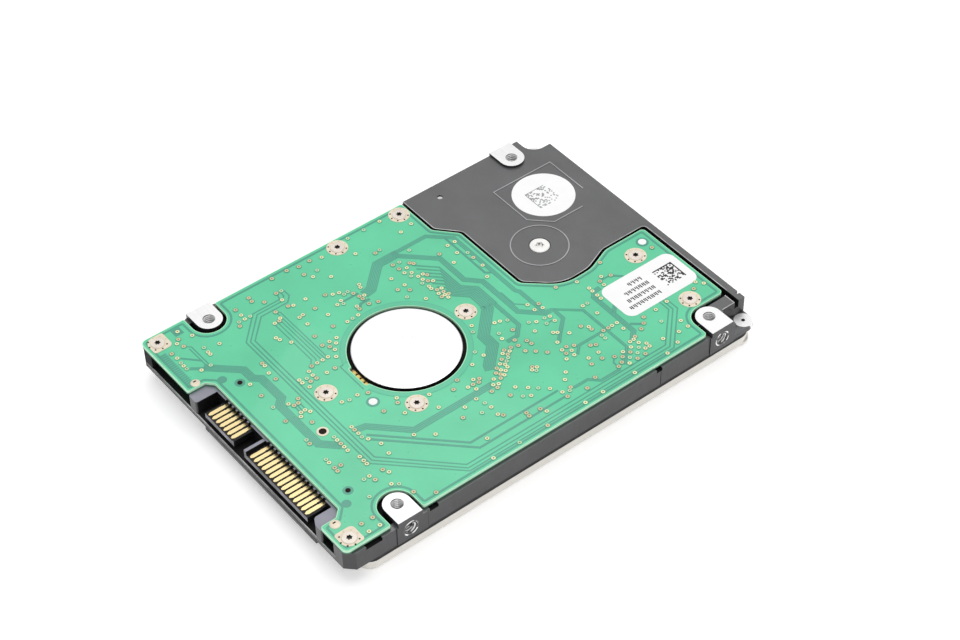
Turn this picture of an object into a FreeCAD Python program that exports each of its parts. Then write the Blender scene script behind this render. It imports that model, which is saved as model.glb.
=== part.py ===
"""A 2.5-inch hard disk drive, lying on its cover with the circuit board up.

X runs across the width, Y along the length with the connector at the -Y end, and Z up from the
cover's outer face. Every length is in millimetres and comes from the sheet called "sizes".
"""
import FreeCAD
import Part
import Sketcher
import math
import os
from FreeCAD import Placement, Rotation, Vector

# Driving dimensions: alias, value, meaning.
DIMENSIONS = [
    ("width", 69.85, "overall width"),
    ("length", 100.2, "overall length"),
    ("height", 9.5, "overall height, cover face to mounting datum"),
    ("mount_spacing_x", 61.72, "bottom mounting holes, across"),
    ("mount_spacing_y", 76.6, "mounting holes, along"),
    ("mount_setback", 14.0, "connector end to the first mounting holes"),
    ("mount_radius", 1.25, "M3 core radius"),
    ("mount_depth", 3.0, "depth of the bottom mounting holes"),
    ("side_hole_depth", 2.6, "depth of the side mounting holes"),
    ("side_hole_drop", 3.0, "side hole axis below the mounting datum"),
    ("boss_radius", 2.75, "mounting boss"),
    ("side_relief", 0.175, "how far the side walls lie inside the mounting pads"),
    ("cover_sheet", 0.5, "cover sheet thickness"),
    ("cover_rim", 2.6, "top of the cover's rim"),
    ("cover_bend", 1.0, "outside radius of the bend around the cover"),
    ("cover_inset", 0.42, "cover rim inside the overall width"),
    ("skirt_bottom", 0.6, "bottom of the casting's inner skirt"),
    ("skirt_gap", 0.1, "cover rim to skirt"),
    ("wall_bottom", 3.8, "bottom of the casting's outer wall"),
    ("shelf_top", 5.0, "top of the connector shelf"),
    ("bay_ceiling", 6.6, "ceiling of the disk bay"),
    ("well_floor", 7.2, "floor of the board well"),
    ("motor_bay_ceiling", 7.7, "ceiling over the voice coil motor"),
    ("wall_top", 8.3, "top of the outer wall beside the board"),
    ("board_bottom", 8.4, "underside of the circuit board"),
    ("board_sheet", 0.8, "circuit board thickness"),
    ("deck_top", 8.9, "top of the casting's deck beside the board"),
    ("board_gap", 0.8, "gap around the circuit board"),
    ("spindle_y", -10.6, "spindle axis"),
    ("pivot_x", -6.5, "actuator pivot"),
    ("pivot_y", 28.2, "actuator pivot"),
    ("park_angle", -25.0, "arm direction when parked, degrees from +X"),
    ("platter_radius", 32.5, "disk radius"),
    ("platter_bore", 10.0, "disk bore radius"),
    ("platter_sheet", 0.635, "disk thickness"),
    ("low_platter", 1.6, "underside of the lower disk"),
    ("high_platter", 4.2, "underside of the upper disk"),
    ("bay_radius", 33.1, "disk bay radius"),
    ("shaft_radius", 1.5, "spindle shaft"),
    ("running_gap", 0.03, "radial clearance of a shaft in its bearing"),
    ("cup_radius", 12.6, "motor cup"),
    ("disc_radius", 10.9, "raised face of the motor cup"),
    ("disc_top", 9.35, "top of the motor cup's raised face"),
    ("board_hole", 11.7, "spindle hole in the circuit board"),
    ("screw_head", 1.5, "board screw head radius"),
    ("screw_thread", 0.78, "board screw thread radius"),
    ("screw_hole", 0.8, "threaded holes for the board screws"),
    ("cover_screw_head", 1.75, "cover screw head radius"),
    ("cover_dimple", 2.2, "dimple around a cover screw, radius"),
    ("contact_pitch", 1.27, "connector contact pitch"),
    ("contact_width", 0.84, "connector contact width"),
    ("connector_x", 4.8, "connector centre from the drive's centre line"),
    ("tongue_top", 7.2, "contact face of the connector tongues"),
    ("tongue_bottom", 6.1, "underside of the connector tongues"),
    ("housing_top", 8.3, "top of the connector housing"),
    ("arm_length", 33.0, "pivot to head"),
    ("block_radius", 5.4, "actuator hub radius"),
    ("sleeve_radius", 4.0, "pivot cartridge radius"),
    ("suspension_sheet", 0.1, "suspension thickness"),
    ("slider_sheet", 0.23, "slider thickness"),
    ("fly_height", 0.05, "modelled gap between slider and disk"),
    ("yoke_sheet", 0.8, "voice coil motor yoke thickness"),
    ("magnet_sheet", 0.7, "voice coil motor magnet thickness"),
    ("coil_low", 2.55, "underside of the voice coil"),
    ("coil_high", 4.15, "top of the voice coil"),
    ("label_sheet", 0.08, "label thickness"),
]

# Board screw positions (x, y).
BOARD_SCREWS = [
    (-31.7, 11.4), (-31.7, -4.3), (-0.6, 4.5), (13.0, -18.0), (-0.1, -29.8),
    (8.4, 41.0), (24.7, 41.0), (-31.75, -47.5), (31.75, -47.5),
]
# Cover screw positions (x, y).
COVER_SCREWS = [
    (-31.6, -43.6), (31.6, -43.6), (-31.6, 16.4), (31.6, 24.2), (-32.0, 47.2), (32.0, 47.2),
]
LUGS = ((-32.8, 48.15), (32.8, 48.15))
STATOR_TEETH = 9
SIGNAL_CONTACTS = 7
POWER_CONTACTS = 15

UP = Vector(0, 0, 1)
ORIGIN_POINT = -1
H_AXIS = -1
V_AXIS = -2
START, END, CENTRE = 1, 2, 3


class Size:
    """A length from the sheet: its value, and the expression that gives it."""

    def __init__(self, value, text):
        self.value = float(value)
        self.text = text

    def joined(self, sign, other, value):
        return Size(value, f"({self.text} {sign} {other.text})")

    def __add__(self, other):
        other = as_size(other)
        return self.joined("+", other, self.value + other.value)

    def __sub__(self, other):
        other = as_size(other)
        return self.joined("-", other, self.value - other.value)

    def __mul__(self, other):
        other = as_size(other)
        return self.joined("*", other, self.value * other.value)

    def __truediv__(self, other):
        other = as_size(other)
        return self.joined("/", other, self.value / other.value)

    def __radd__(self, other):
        return as_size(other) + self

    def __rsub__(self, other):
        return as_size(other) - self

    def __rmul__(self, other):
        return as_size(other) * self

    def __neg__(self):
        return as_size(0) - self


def as_size(number):
    """A plain number as a Size; a Size stays itself."""
    if isinstance(number, Size):
        return number
    return Size(number, f"({float(number):.6f})")


def fill_sheet(document):
    """Write the driving dimensions to the sheet and return them as Sizes."""
    sheet = document.addObject("Spreadsheet::Sheet", "sizes")
    found = {}
    for row, (alias, value, meaning) in enumerate(DIMENSIONS, start=1):
        sheet.set(f"A{row}", alias)
        sheet.set(f"B{row}", str(value))
        sheet.set(f"C{row}", meaning)
        sheet.setAlias(f"B{row}", alias)
        found[alias] = Size(value, f"sizes.{alias}")
    document.recompute()
    return found


doc = FreeCAD.newDocument("hard_disk_drive")
D = fill_sheet(doc)
PARTS = []

HALF_WIDTH = D["width"] / 2
HALF_LENGTH = D["length"] / 2
WALL_X = HALF_WIDTH - D["side_relief"]
MOUNT_X = D["mount_spacing_x"] / 2
FRONT_MOUNT_Y = D["mount_setback"] - HALF_LENGTH
REAR_MOUNT_Y = FRONT_MOUNT_Y + D["mount_spacing_y"]
BOARD_TOP = D["board_bottom"] + D["board_sheet"]
COVER_X = HALF_WIDTH - D["cover_inset"]
COVER_FRONT = -46.3
COVER_REAR = 49.5
SKIRT_X = COVER_X - D["cover_sheet"] - D["skirt_gap"]
SKIRT_FRONT = COVER_FRONT + D["cover_sheet"].value + D["skirt_gap"].value
SKIRT_REAR = COVER_REAR - D["cover_sheet"].value - D["skirt_gap"].value
POCKET_BACK = -44.5
LOW_DISK_TOP = D["low_platter"] + D["platter_sheet"]
HIGH_DISK_TOP = D["high_platter"] + D["platter_sheet"]
SPINDLE = (0.0, D["spindle_y"].value)
PIVOT = (D["pivot_x"].value, D["pivot_y"].value)
COIL_AXIS = 138.0
# Voice coil motor posts, as (radius, angle) about the pivot.
POST_PLACES = ((20.8, 121.0), (20.8, 163.0))


# ---------------------------------------------------------------- sketch helpers

def polar(radius, angle):
    turn = math.radians(angle)
    return radius * math.cos(turn), radius * math.sin(turn)


def numbers(point):
    return Vector(as_size(point[0]).value, as_size(point[1]).value, 0)


def hold(sketch, geometry, vertex, x, y):
    """Hold a sketch point at (x, y) with dimensions bound to the sheet."""
    for kind, axis, size in (("DistanceX", V_AXIS, as_size(x)), ("DistanceY", H_AXIS, as_size(y))):
        if abs(size.value) < 1e-9:
            sketch.addConstraint(Sketcher.Constraint("PointOnObject", geometry, vertex, axis))
            continue
        rule = Sketcher.Constraint(kind, ORIGIN_POINT, START, geometry, vertex, size.value)
        index = sketch.addConstraint(rule)
        if "sizes." in size.text:
            sketch.setExpression(f"Constraints[{index}]", size.text)


def polygon(sketch, points):
    """A closed straight-sided loop whose corners are bound to the sheet."""
    first = sketch.GeometryCount
    corners = [numbers(point) for point in points]
    lines = [Part.LineSegment(a, b) for a, b in zip(corners, corners[1:] + corners[:1])]
    sketch.addGeometry(lines, False)
    count = len(lines)
    for i in range(count):
        rule = Sketcher.Constraint("Coincident", first + i, END, first + (i + 1) % count, START)
        sketch.addConstraint(rule)
    for i, (x, y) in enumerate(points):
        hold(sketch, first + i, START, x, y)


def rectangle(sketch, left, right, front, back):
    polygon(sketch, [(left, front), (right, front), (right, back), (left, back)])


def circle(sketch, x, y, radius):
    """A circle with its centre and radius bound to the sheet."""
    radius = as_size(radius)
    index = sketch.addGeometry(Part.Circle(numbers((x, y)), UP, radius.value), False)
    hold(sketch, index, CENTRE, x, y)
    rule = sketch.addConstraint(Sketcher.Constraint("Radius", index, radius.value))
    if "sizes." in radius.text:
        sketch.setExpression(f"Constraints[{rule}]", radius.text)


def outline(sketch, points):
    """A closed loop with round corners: each point is (x, y) or (x, y, corner radius)."""
    cuts = []
    count = len(points)
    for i, point in enumerate(points):
        here = numbers(point)
        radius = point[2] if len(point) > 2 else 0
        if not radius:
            cuts.append((here, None, here))
            continue
        back = (numbers(points[i - 1]) - here).normalize()
        ahead = (numbers(points[(i + 1) % count]) - here).normalize()
        half = back.getAngle(ahead) / 2
        reach = radius / math.tan(half)
        bisector = (back + ahead).normalize()
        middle = here + bisector * (radius / math.sin(half) - radius)
        cuts.append((here + back * reach, middle, here + ahead * reach))
    edges = []
    for i, (enter, middle, leave) in enumerate(cuts):
        if middle is not None:
            edges.append(Part.Arc(enter, middle, leave))
        following = cuts[(i + 1) % count][0]
        if leave.distanceToPoint(following) > 1e-6:
            edges.append(Part.LineSegment(leave, following))
    sketch.addGeometry(edges, False)


def sector(sketch, inner, outer, half_angle, direction=0.0):
    """An annular sector about the origin."""
    low = math.radians(direction - half_angle)
    high = math.radians(direction + half_angle)
    inner = as_size(inner).value
    outer = as_size(outer).value

    def at(radius, angle):
        return Vector(radius * math.cos(angle), radius * math.sin(angle), 0)

    middle = (low + high) / 2
    edges = [
        Part.Arc(at(outer, low), at(outer, middle), at(outer, high)),
        Part.LineSegment(at(outer, high), at(inner, high)),
        Part.Arc(at(inner, high), at(inner, middle), at(inner, low)),
        Part.LineSegment(at(inner, low), at(outer, low)),
    ]
    sketch.addGeometry(edges, False)


# ---------------------------------------------------------------- feature helpers

def new_body(label, x=0.0, y=0.0, z=0.0, angle=0.0, listed=True):
    """A PartDesign body at a place in the drive's frame."""
    body = doc.addObject("PartDesign::Body", label)
    body.Label = label
    body.Placement = Placement(Vector(x, y, z), Rotation(UP, angle))
    if listed:
        PARTS.append(body)
    return body


def sketch_on(body, name, height, role="XY_Plane"):
    """A sketch on one of the body's origin planes, moved along its normal."""
    sketch = body.newObject("Sketcher::SketchObject", f"{name}_sketch")
    planes = [item for item in body.Origin.OriginFeatures if item.Role == role]
    sketch.AttachmentSupport = [(planes[0], "")]
    sketch.MapMode = "FlatFace"
    height = as_size(height)
    sketch.AttachmentOffset = Placement(Vector(0, 0, height.value), Rotation())
    if "sizes." in height.text:
        sketch.setExpression("AttachmentOffset.Base.z", height.text)
    return sketch


def feature(body, kind, name, length, draw, height, role="XY_Plane", reverse=False):
    sketch = sketch_on(body, name, height, role)
    draw(sketch)
    made = body.newObject(f"PartDesign::{kind}", name)
    made.Profile = sketch
    length = as_size(length)
    made.Length = length.value
    if "sizes." in length.text:
        made.setExpression("Length", length.text)
    made.Reversed = reverse
    return made


def pad(body, name, bottom, top, draw):
    """Material between two heights."""
    return feature(body, "Pad", name, top - as_size(bottom), draw, bottom)


def pocket(body, name, bottom, top, draw):
    """Cut downwards from one height to another."""
    return feature(body, "Pocket", name, top - as_size(bottom), draw, top)


def turned(body, name, points):
    """A solid of revolution about the body's Z axis from (radius, height) corners."""
    sketch = sketch_on(body, name, 0, "XZ_Plane")
    polygon(sketch, points)
    made = body.newObject("PartDesign::Revolution", name)
    made.Profile = sketch
    made.ReferenceAxis = (sketch, ["V_Axis"])
    made.Angle = 360.0
    return made


def round_bottom(body, name, block, radius):
    """Round the edges of a feature that lie at height zero."""
    doc.recompute()
    low = [f"Edge{n}" for n, edge in enumerate(block.Shape.Edges, start=1)
           if edge.BoundBox.ZMax < 1e-6]
    made = body.newObject("PartDesign::Fillet", name)
    made.Base = (block, low)
    made.Radius = radius.value
    made.setExpression("Radius", radius.text)
    return made


def prism(label, bottom, top, draw, place=(0.0, 0.0), angle=0.0, listed=True):
    """A body that is one pad."""
    body = new_body(label, place[0], place[1], 0.0, angle, listed)
    pad(body, f"{label}_pad", bottom, top, draw)
    return body


def ring(label, inner, outer, bottom, top, place):
    """A turned ring, or a disc where the inner radius is zero."""
    body = new_body(label, place[0], place[1])
    turned(body, f"{label}_ring", [(inner, bottom), (outer, bottom), (outer, top), (inner, top)])
    return body


def group(label, master, places):
    """Copies of one master body as a single sub-part; each place is (x, y, z, angle)."""
    links = []
    for number, (x, y, z, angle) in enumerate(places, start=1):
        link = doc.addObject("App::Link", f"{label}_{number}")
        link.LinkedObject = master
        link.Placement = Placement(Vector(x, y, z), Rotation(UP, angle))
        links.append(link)
    together = doc.addObject("Part::Compound", label)
    together.Label = label
    together.Links = links
    PARTS.append(together)
    return together


def box(label, left, front, bottom, across, along, tall):
    """A Part box bound to the sheet."""
    made = doc.addObject("Part::Box", label)
    made.Label = label
    for name, size in (("Length", across), ("Width", along), ("Height", tall)):
        made.setExpression(name, as_size(size).text)
    for name, size in (("x", left), ("y", front), ("z", bottom)):
        made.setExpression(f"Placement.Base.{name}", as_size(size).text)
    return made


def cylinder(label, x, y, bottom, radius, tall):
    """A Part cylinder bound to the sheet."""
    made = doc.addObject("Part::Cylinder", label)
    made.Label = label
    made.setExpression("Radius", as_size(radius).text)
    made.setExpression("Height", as_size(tall).text)
    for name, size in (("x", x), ("y", y), ("z", bottom)):
        made.setExpression(f"Placement.Base.{name}", as_size(size).text)
    return made


def listed(item):
    PARTS.append(item)
    return item


def compound(label, items):
    """Separate primitives as one sub-part."""
    together = doc.addObject("Part::Compound", label)
    together.Label = label
    together.Links = items
    return listed(together)


def lobed_socket(sketch, radius):
    """A six-lobe driver socket: six arcs out and six arcs in."""
    edges = []
    for lobe in range(6):
        angle = 60.0 * lobe
        lobe_start, lobe_tip, lobe_end = (
            Vector(*polar(radius * reach, angle + turn), 0)
            for reach, turn in ((0.86, -15.0), (1.0, 0.0), (0.86, 15.0)))
        valley = Vector(*polar(radius * 0.74, angle + 30.0), 0)
        following = Vector(*polar(radius * 0.86, angle + 45.0), 0)
        edges.append(Part.Arc(lobe_start, lobe_tip, lobe_end))
        edges.append(Part.Arc(lobe_end, valley, following))
    sketch.addGeometry(edges, False)


# ---------------------------------------------------------------- base casting

def inner_edge(gap):
    """The board's edge along the deck, round the pivot, moved towards the deck by a gap."""
    return [
        (27.35 + gap, 47.5 + 1.275 * gap, 0.9), (3.2 - gap, 47.5 + 1.275 * gap, 0.9),
        (3.2 - gap, 37.4, 4.0),
        (5.6 - gap, 31.6, 7.0), (5.8 - gap, 24.6, 8.0), (-0.3 - 0.4 * gap, 17.8 + gap, 2.2),
        (-19.3 - 0.4 * gap, 17.8 + gap, 1.6), (-23.8 - 0.4 * gap, 13.8 + gap, 1.6)]


def board_edge():
    """The circuit board's outline with its notches."""
    side = 34.15
    front = -HALF_LENGTH.value
    notch = 27.3
    notch_low = -39.9
    notch_high = -32.6
    return [
        (-side, front, 1.2), (-17.0, front, 0.6), (-17.0, -46.2, 0.4),
        (-15.6, -44.9, 0.8), (24.7, -44.9, 0.8), (26.3, -46.6, 0.4),
        (26.3, front, 0.6), (side, front, 1.2),
        (side, notch_low, 0.4), (notch, notch_low, 3.6), (notch, notch_high, 3.6),
        (side, notch_high, 0.4), (side, 37.1, 0.8), (27.35, 37.1, 3.3),
        *inner_edge(0),
        (-side, 13.8, 0.6), (-side, notch_high, 0.4), (-notch, notch_high, 3.6),
        (-notch, notch_low, 3.6), (-side, notch_low, 0.4),
    ]


def well_edge():
    """The well under the board: inside the side walls, and round the deck."""
    gap = D["board_gap"].value
    side = 33.2
    return [
        (-side, -43.6, 0.6), (side, -43.6, 0.6), (side, 37.2, 0.6), (30.86, 37.2),
        (30.86, 40.5), (27.35 + gap, 40.5, 0.5),
        *inner_edge(gap), (-side, 13.8 + gap, 0.6)]


def boss_shape(sketch, side, y):
    """A U-shaped mounting boss, flush with the side."""
    reach = D["boss_radius"].value
    centre = side * MOUNT_X.value
    edge = side * HALF_WIDTH.value
    edges = [
        Part.LineSegment(Vector(edge, y - reach, 0), Vector(centre, y - reach, 0)),
        Part.Arc(Vector(centre, y - reach, 0), Vector(centre - side * reach, y, 0),
                 Vector(centre, y + reach, 0)),
        Part.LineSegment(Vector(centre, y + reach, 0), Vector(edge, y + reach, 0)),
        Part.LineSegment(Vector(edge, y + reach, 0), Vector(edge, y - reach, 0)),
    ]
    sketch.addGeometry(edges, False)


def make_casting():
    body = new_body("base_casting")
    wall = WALL_X
    rear = HALF_LENGTH
    chamfer = 1.8

    def plan(sketch):
        polygon(sketch, [
            (-wall, -rear + chamfer), (-wall + chamfer, -rear), (wall - chamfer, -rear),
            (wall, -rear + chamfer), (wall, rear - 1.9), (wall - 0.56, rear - 0.56),
            (wall - 1.9, rear), (-wall + 1.9, rear), (-wall + 0.56, rear - 0.56),
            (-wall, rear - 1.9)])

    pad(body, "outer_wall", D["wall_bottom"], D["wall_top"], plan)
    pad(body, "inner_skirt", D["skirt_bottom"], D["wall_bottom"], lambda s: outline(s, [
        (-SKIRT_X, SKIRT_FRONT, 2.4), (SKIRT_X, SKIRT_FRONT, 2.4), (SKIRT_X, SKIRT_REAR, 2.4),
        (-SKIRT_X, SKIRT_REAR, 2.4)]))
    pad(body, "deck", D["wall_top"], D["deck_top"], lambda s: rectangle(s, -wall, 31.2, 14.6, rear))
    pad(body, "front_lip", 2.9, D["wall_bottom"],
        lambda s: rectangle(s, -12.0, 24.5, -rear, -rear + 0.9))
    pocket(body, "board_well", D["well_floor"], D["deck_top"] + 0.1, lambda s: outline(s, well_edge()))
    pocket(body, "connector_pocket", D["shelf_top"], D["deck_top"],
           lambda s: rectangle(s, -30.3, 30.3, -rear - 1, POCKET_BACK))
    pocket(body, "disk_bay", 0, D["bay_ceiling"],
           lambda s: circle(s, 0, D["spindle_y"], D["bay_radius"]))
    pocket(body, "arm_bay", 0, D["bay_ceiling"], lambda s: outline(s, [
        (1.0, 8.0), (30.9, 8.0, 1.5), (30.9, 20.6, 0.8), (28.2, 20.9, 1.0), (28.2, 36.4, 1.0),
        (27.3, 37.6, 1.0), (27.3, 46.8, 1.5), (1.0, 46.8)]))
    pocket(body, "motor_bay", 0, D["motor_bay_ceiling"], lambda s: outline(s, [
        (1.6, 19.4), (1.6, 48.4, 1.0), (-28.0, 48.4, 1.5), (-28.0, 44.8, 0.8), (-27.4, 43.8),
        (-27.4, 36.6, 1.0), (-33.1, 36.6, 1.0), (-33.1, 19.9, 1.0)]))
    pocket(body, "arm_opening", 0, D["bay_ceiling"], lambda s: outline(s, [
        (-17.0, 16.0), (2.0, 16.0), (2.0, 24.0), (-17.0, 24.0)]))
    pocket(body, "motor_hole", 0, D["deck_top"],
           lambda s: circle(s, 0, D["spindle_y"], D["cup_radius"]))
    pocket(body, "wall_notch", 7.6, D["deck_top"],
           lambda s: (rectangle(s, 33.0, HALF_WIDTH + 1, -46.0, -42.4),
                      rectangle(s, 33.0, HALF_WIDTH + 1, -31.6, -29.6),
                      rectangle(s, 33.0, HALF_WIDTH + 1, 23.5, 24.9),
                      rectangle(s, -HALF_WIDTH - 1, -33.0, -46.0, -42.4)))

    pad(body, "side_pads", D["wall_bottom"], D["wall_top"], lambda s: [
        rectangle(s, *pad_sides(side), y - low, y + high)
        for side in (-1, 1)
        for y, low, high in ((FRONT_MOUNT_Y, 3.1, 3.9), (REAR_MOUNT_Y, 3.1, 3.2))])
    for side, side_name in ((-1, "left"), (1, "right")):
        for y, end_name in ((FRONT_MOUNT_Y, "front"), (REAR_MOUNT_Y, "rear")):
            pad(body, f"{side_name}_{end_name}_boss", D["wall_bottom"], D["height"],
                lambda s, side=side, y=y: boss_shape(s, side, y.value))
    posts = [place for place in BOARD_SCREWS if abs(place[1]) < 45]
    pad(body, "board_posts", D["bay_ceiling"], D["board_bottom"],
        lambda s: [circle(s, x, y, 1.9) for x, y in posts])
    pad(body, "corner_posts", D["wall_top"], D["board_bottom"],
        lambda s: [circle(s, x, y, 1.9) for x, y in BOARD_SCREWS if abs(y) > 45])
    pocket(body, "rear_corners", D["shelf_top"], D["deck_top"] + 0.1, lambda s: (
        rectangle(s, 30.8, HALF_WIDTH + 1, 44.1, HALF_LENGTH + 1),
        outline(s, [(-HALF_WIDTH - 1, 45.05), (-29.7, 45.05, 3.1), (-29.7, HALF_LENGTH + 1),
                    (-HALF_WIDTH - 1, HALF_LENGTH + 1)])))
    pocket(body, "rear_slots", D["well_floor"], D["deck_top"] + 0.1, lambda s: (
        rectangle(s, 27.5, 31.2, 47.45, 48.52), rectangle(s, 28.7, 29.3, 49.5, HALF_LENGTH + 1)))
    pad(body, "rear_lugs", D["wall_bottom"], D["shelf_top"] + 0.15,
        lambda s: [circle(s, x, y, 1.9) for x, y in LUGS])
    pad(body, "pivot_boss", 5.95, D["motor_bay_ceiling"], lambda s: circle(s, *PIVOT, 2.6))
    pad(body, "deck_ridges", D["deck_top"], D["deck_top"] + 0.08, lambda s: (
        circle(s, *PIVOT, 6.1), circle(s, *PIVOT, 5.85)))
    pad(body, "deck_frame", D["deck_top"], D["deck_top"] + 0.08, lambda s: outline(s, [
        (-25.15, 30.9), (-14.0, 30.9), (-9.9, 35.0), (-9.9, 42.6), (-10.15, 42.6),
        (-10.15, 35.1), (-14.1, 31.15), (-24.9, 31.15), (-24.9, 46.1), (-14.2, 46.1),
        (-14.2, 46.35), (-25.15, 46.35)]))

    pocket(body, "cover_seats", 0, 1.1,
           lambda s: [circle(s, x, y, D["cover_dimple"] + 0.6) for x, y in COVER_SCREWS])
    pocket(body, "cover_holes", 0, D["shelf_top"] - 0.4,
           lambda s: [circle(s, x, y, D["screw_hole"]) for x, y in COVER_SCREWS])
    pocket(body, "lug_holes", D["shelf_top"] - 0.3, D["shelf_top"] + 1,
           lambda s: [circle(s, x, y, 0.4) for x, y in LUGS])
    pocket(body, "board_holes", 6.75, D["board_bottom"] + 1,
           lambda s: [circle(s, x, y, D["screw_hole"]) for x, y in BOARD_SCREWS])
    pocket(body, "pivot_hole", 5.0, D["deck_top"], lambda s: circle(s, *PIVOT, 1.25))
    pocket(body, "pivot_sink", D["deck_top"] - 0.45, D["deck_top"] + 0.2,
           lambda s: circle(s, *PIVOT, 2.25))
    pocket(body, "latch_hole", 7.0, D["deck_top"] + 0.1, lambda s: circle(s, -31.0, 21.5, 0.6))
    pocket(body, "mount_holes", D["height"] - D["mount_depth"], D["height"] + 0.1, lambda s: [
        circle(s, x, y, D["mount_radius"])
        for x in (-MOUNT_X, MOUNT_X) for y in (FRONT_MOUNT_Y, REAR_MOUNT_Y)])
    side_height = D["height"] - D["side_hole_drop"]
    for side, name in ((-1, "left"), (1, "right")):
        feature(body, "Pocket", f"{name}_side_holes", D["side_hole_depth"], lambda s: [
            circle(s, y, side_height, D["mount_radius"]) for y in (FRONT_MOUNT_Y, REAR_MOUNT_Y)],
            HALF_WIDTH * side, "YZ_Plane", side < 0)
    return body


def pad_sides(side):
    """The low and high X of a mounting pad that stands proud of a side wall."""
    if side < 0:
        return -HALF_WIDTH, -SKIRT_X
    return SKIRT_X, HALF_WIDTH


# ---------------------------------------------------------------- cover

def cover_plan(inset, corner):
    return [
        (-COVER_X + inset, COVER_FRONT + inset, corner), (COVER_X - inset, COVER_FRONT + inset, corner),
        (COVER_X - inset, COVER_REAR - inset, corner), (-COVER_X + inset, COVER_REAR - inset, corner)]


def make_cover():
    body = new_body("top_cover")
    sheet = D["cover_sheet"]
    block = pad(body, "cover_block", 0, D["cover_rim"], lambda s: outline(s, cover_plan(0, 3.0)))
    round_bottom(body, "cover_bend", block, D["cover_bend"])
    pocket(body, "cover_hollow", sheet, D["cover_rim"] + 0.1,
           lambda s: outline(s, cover_plan(sheet.value, 2.5)))
    pad(body, "dimple_walls", sheet, 1.05,
        lambda s: [circle(s, x, y, D["cover_dimple"] + 0.35) for x, y in COVER_SCREWS])
    pocket(body, "dimples", -0.1, 0.55,
           lambda s: [circle(s, x, y, D["cover_dimple"]) for x, y in COVER_SCREWS])
    pocket(body, "cover_screw_holes", -0.1, 1.2,
           lambda s: [circle(s, x, y, 0.95) for x, y in COVER_SCREWS])
    pocket(body, "label_recess", -0.1, 0.12, lambda s: outline(s, label_plan(0)))

    prism("cover_gasket", D["cover_rim"], D["wall_bottom"], lambda s: (
        outline(s, cover_plan(0.05, 2.9)), outline(s, cover_plan(sheet.value + 0.05, 2.4))))
    prism("top_label", 0.02, 0.12, lambda s: outline(s, label_plan(0.25)))

    master = new_body("cover_screw", listed=False)
    head = D["cover_screw_head"]
    turned(master, "cover_screw_turned", [
        (0, 0.15), (head, 0.15), (head, 0.55), (D["screw_thread"], 0.55),
        (D["screw_thread"], 4.2), (0, 4.2)])
    pocket(master, "cover_screw_socket", 0.1, 0.4, lambda s: lobed_socket(s, 0.7))
    group("cover_screws", master, [(x, y, 0, 0) for x, y in COVER_SCREWS])


def label_plan(inset):
    return [
        (-27 + inset, -38 + inset, 2.0), (27 - inset, -38 + inset, 2.0),
        (27 - inset, 42 - inset, 2.0), (-27 + inset, 42 - inset, 2.0)]


# ---------------------------------------------------------------- circuit board

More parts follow.
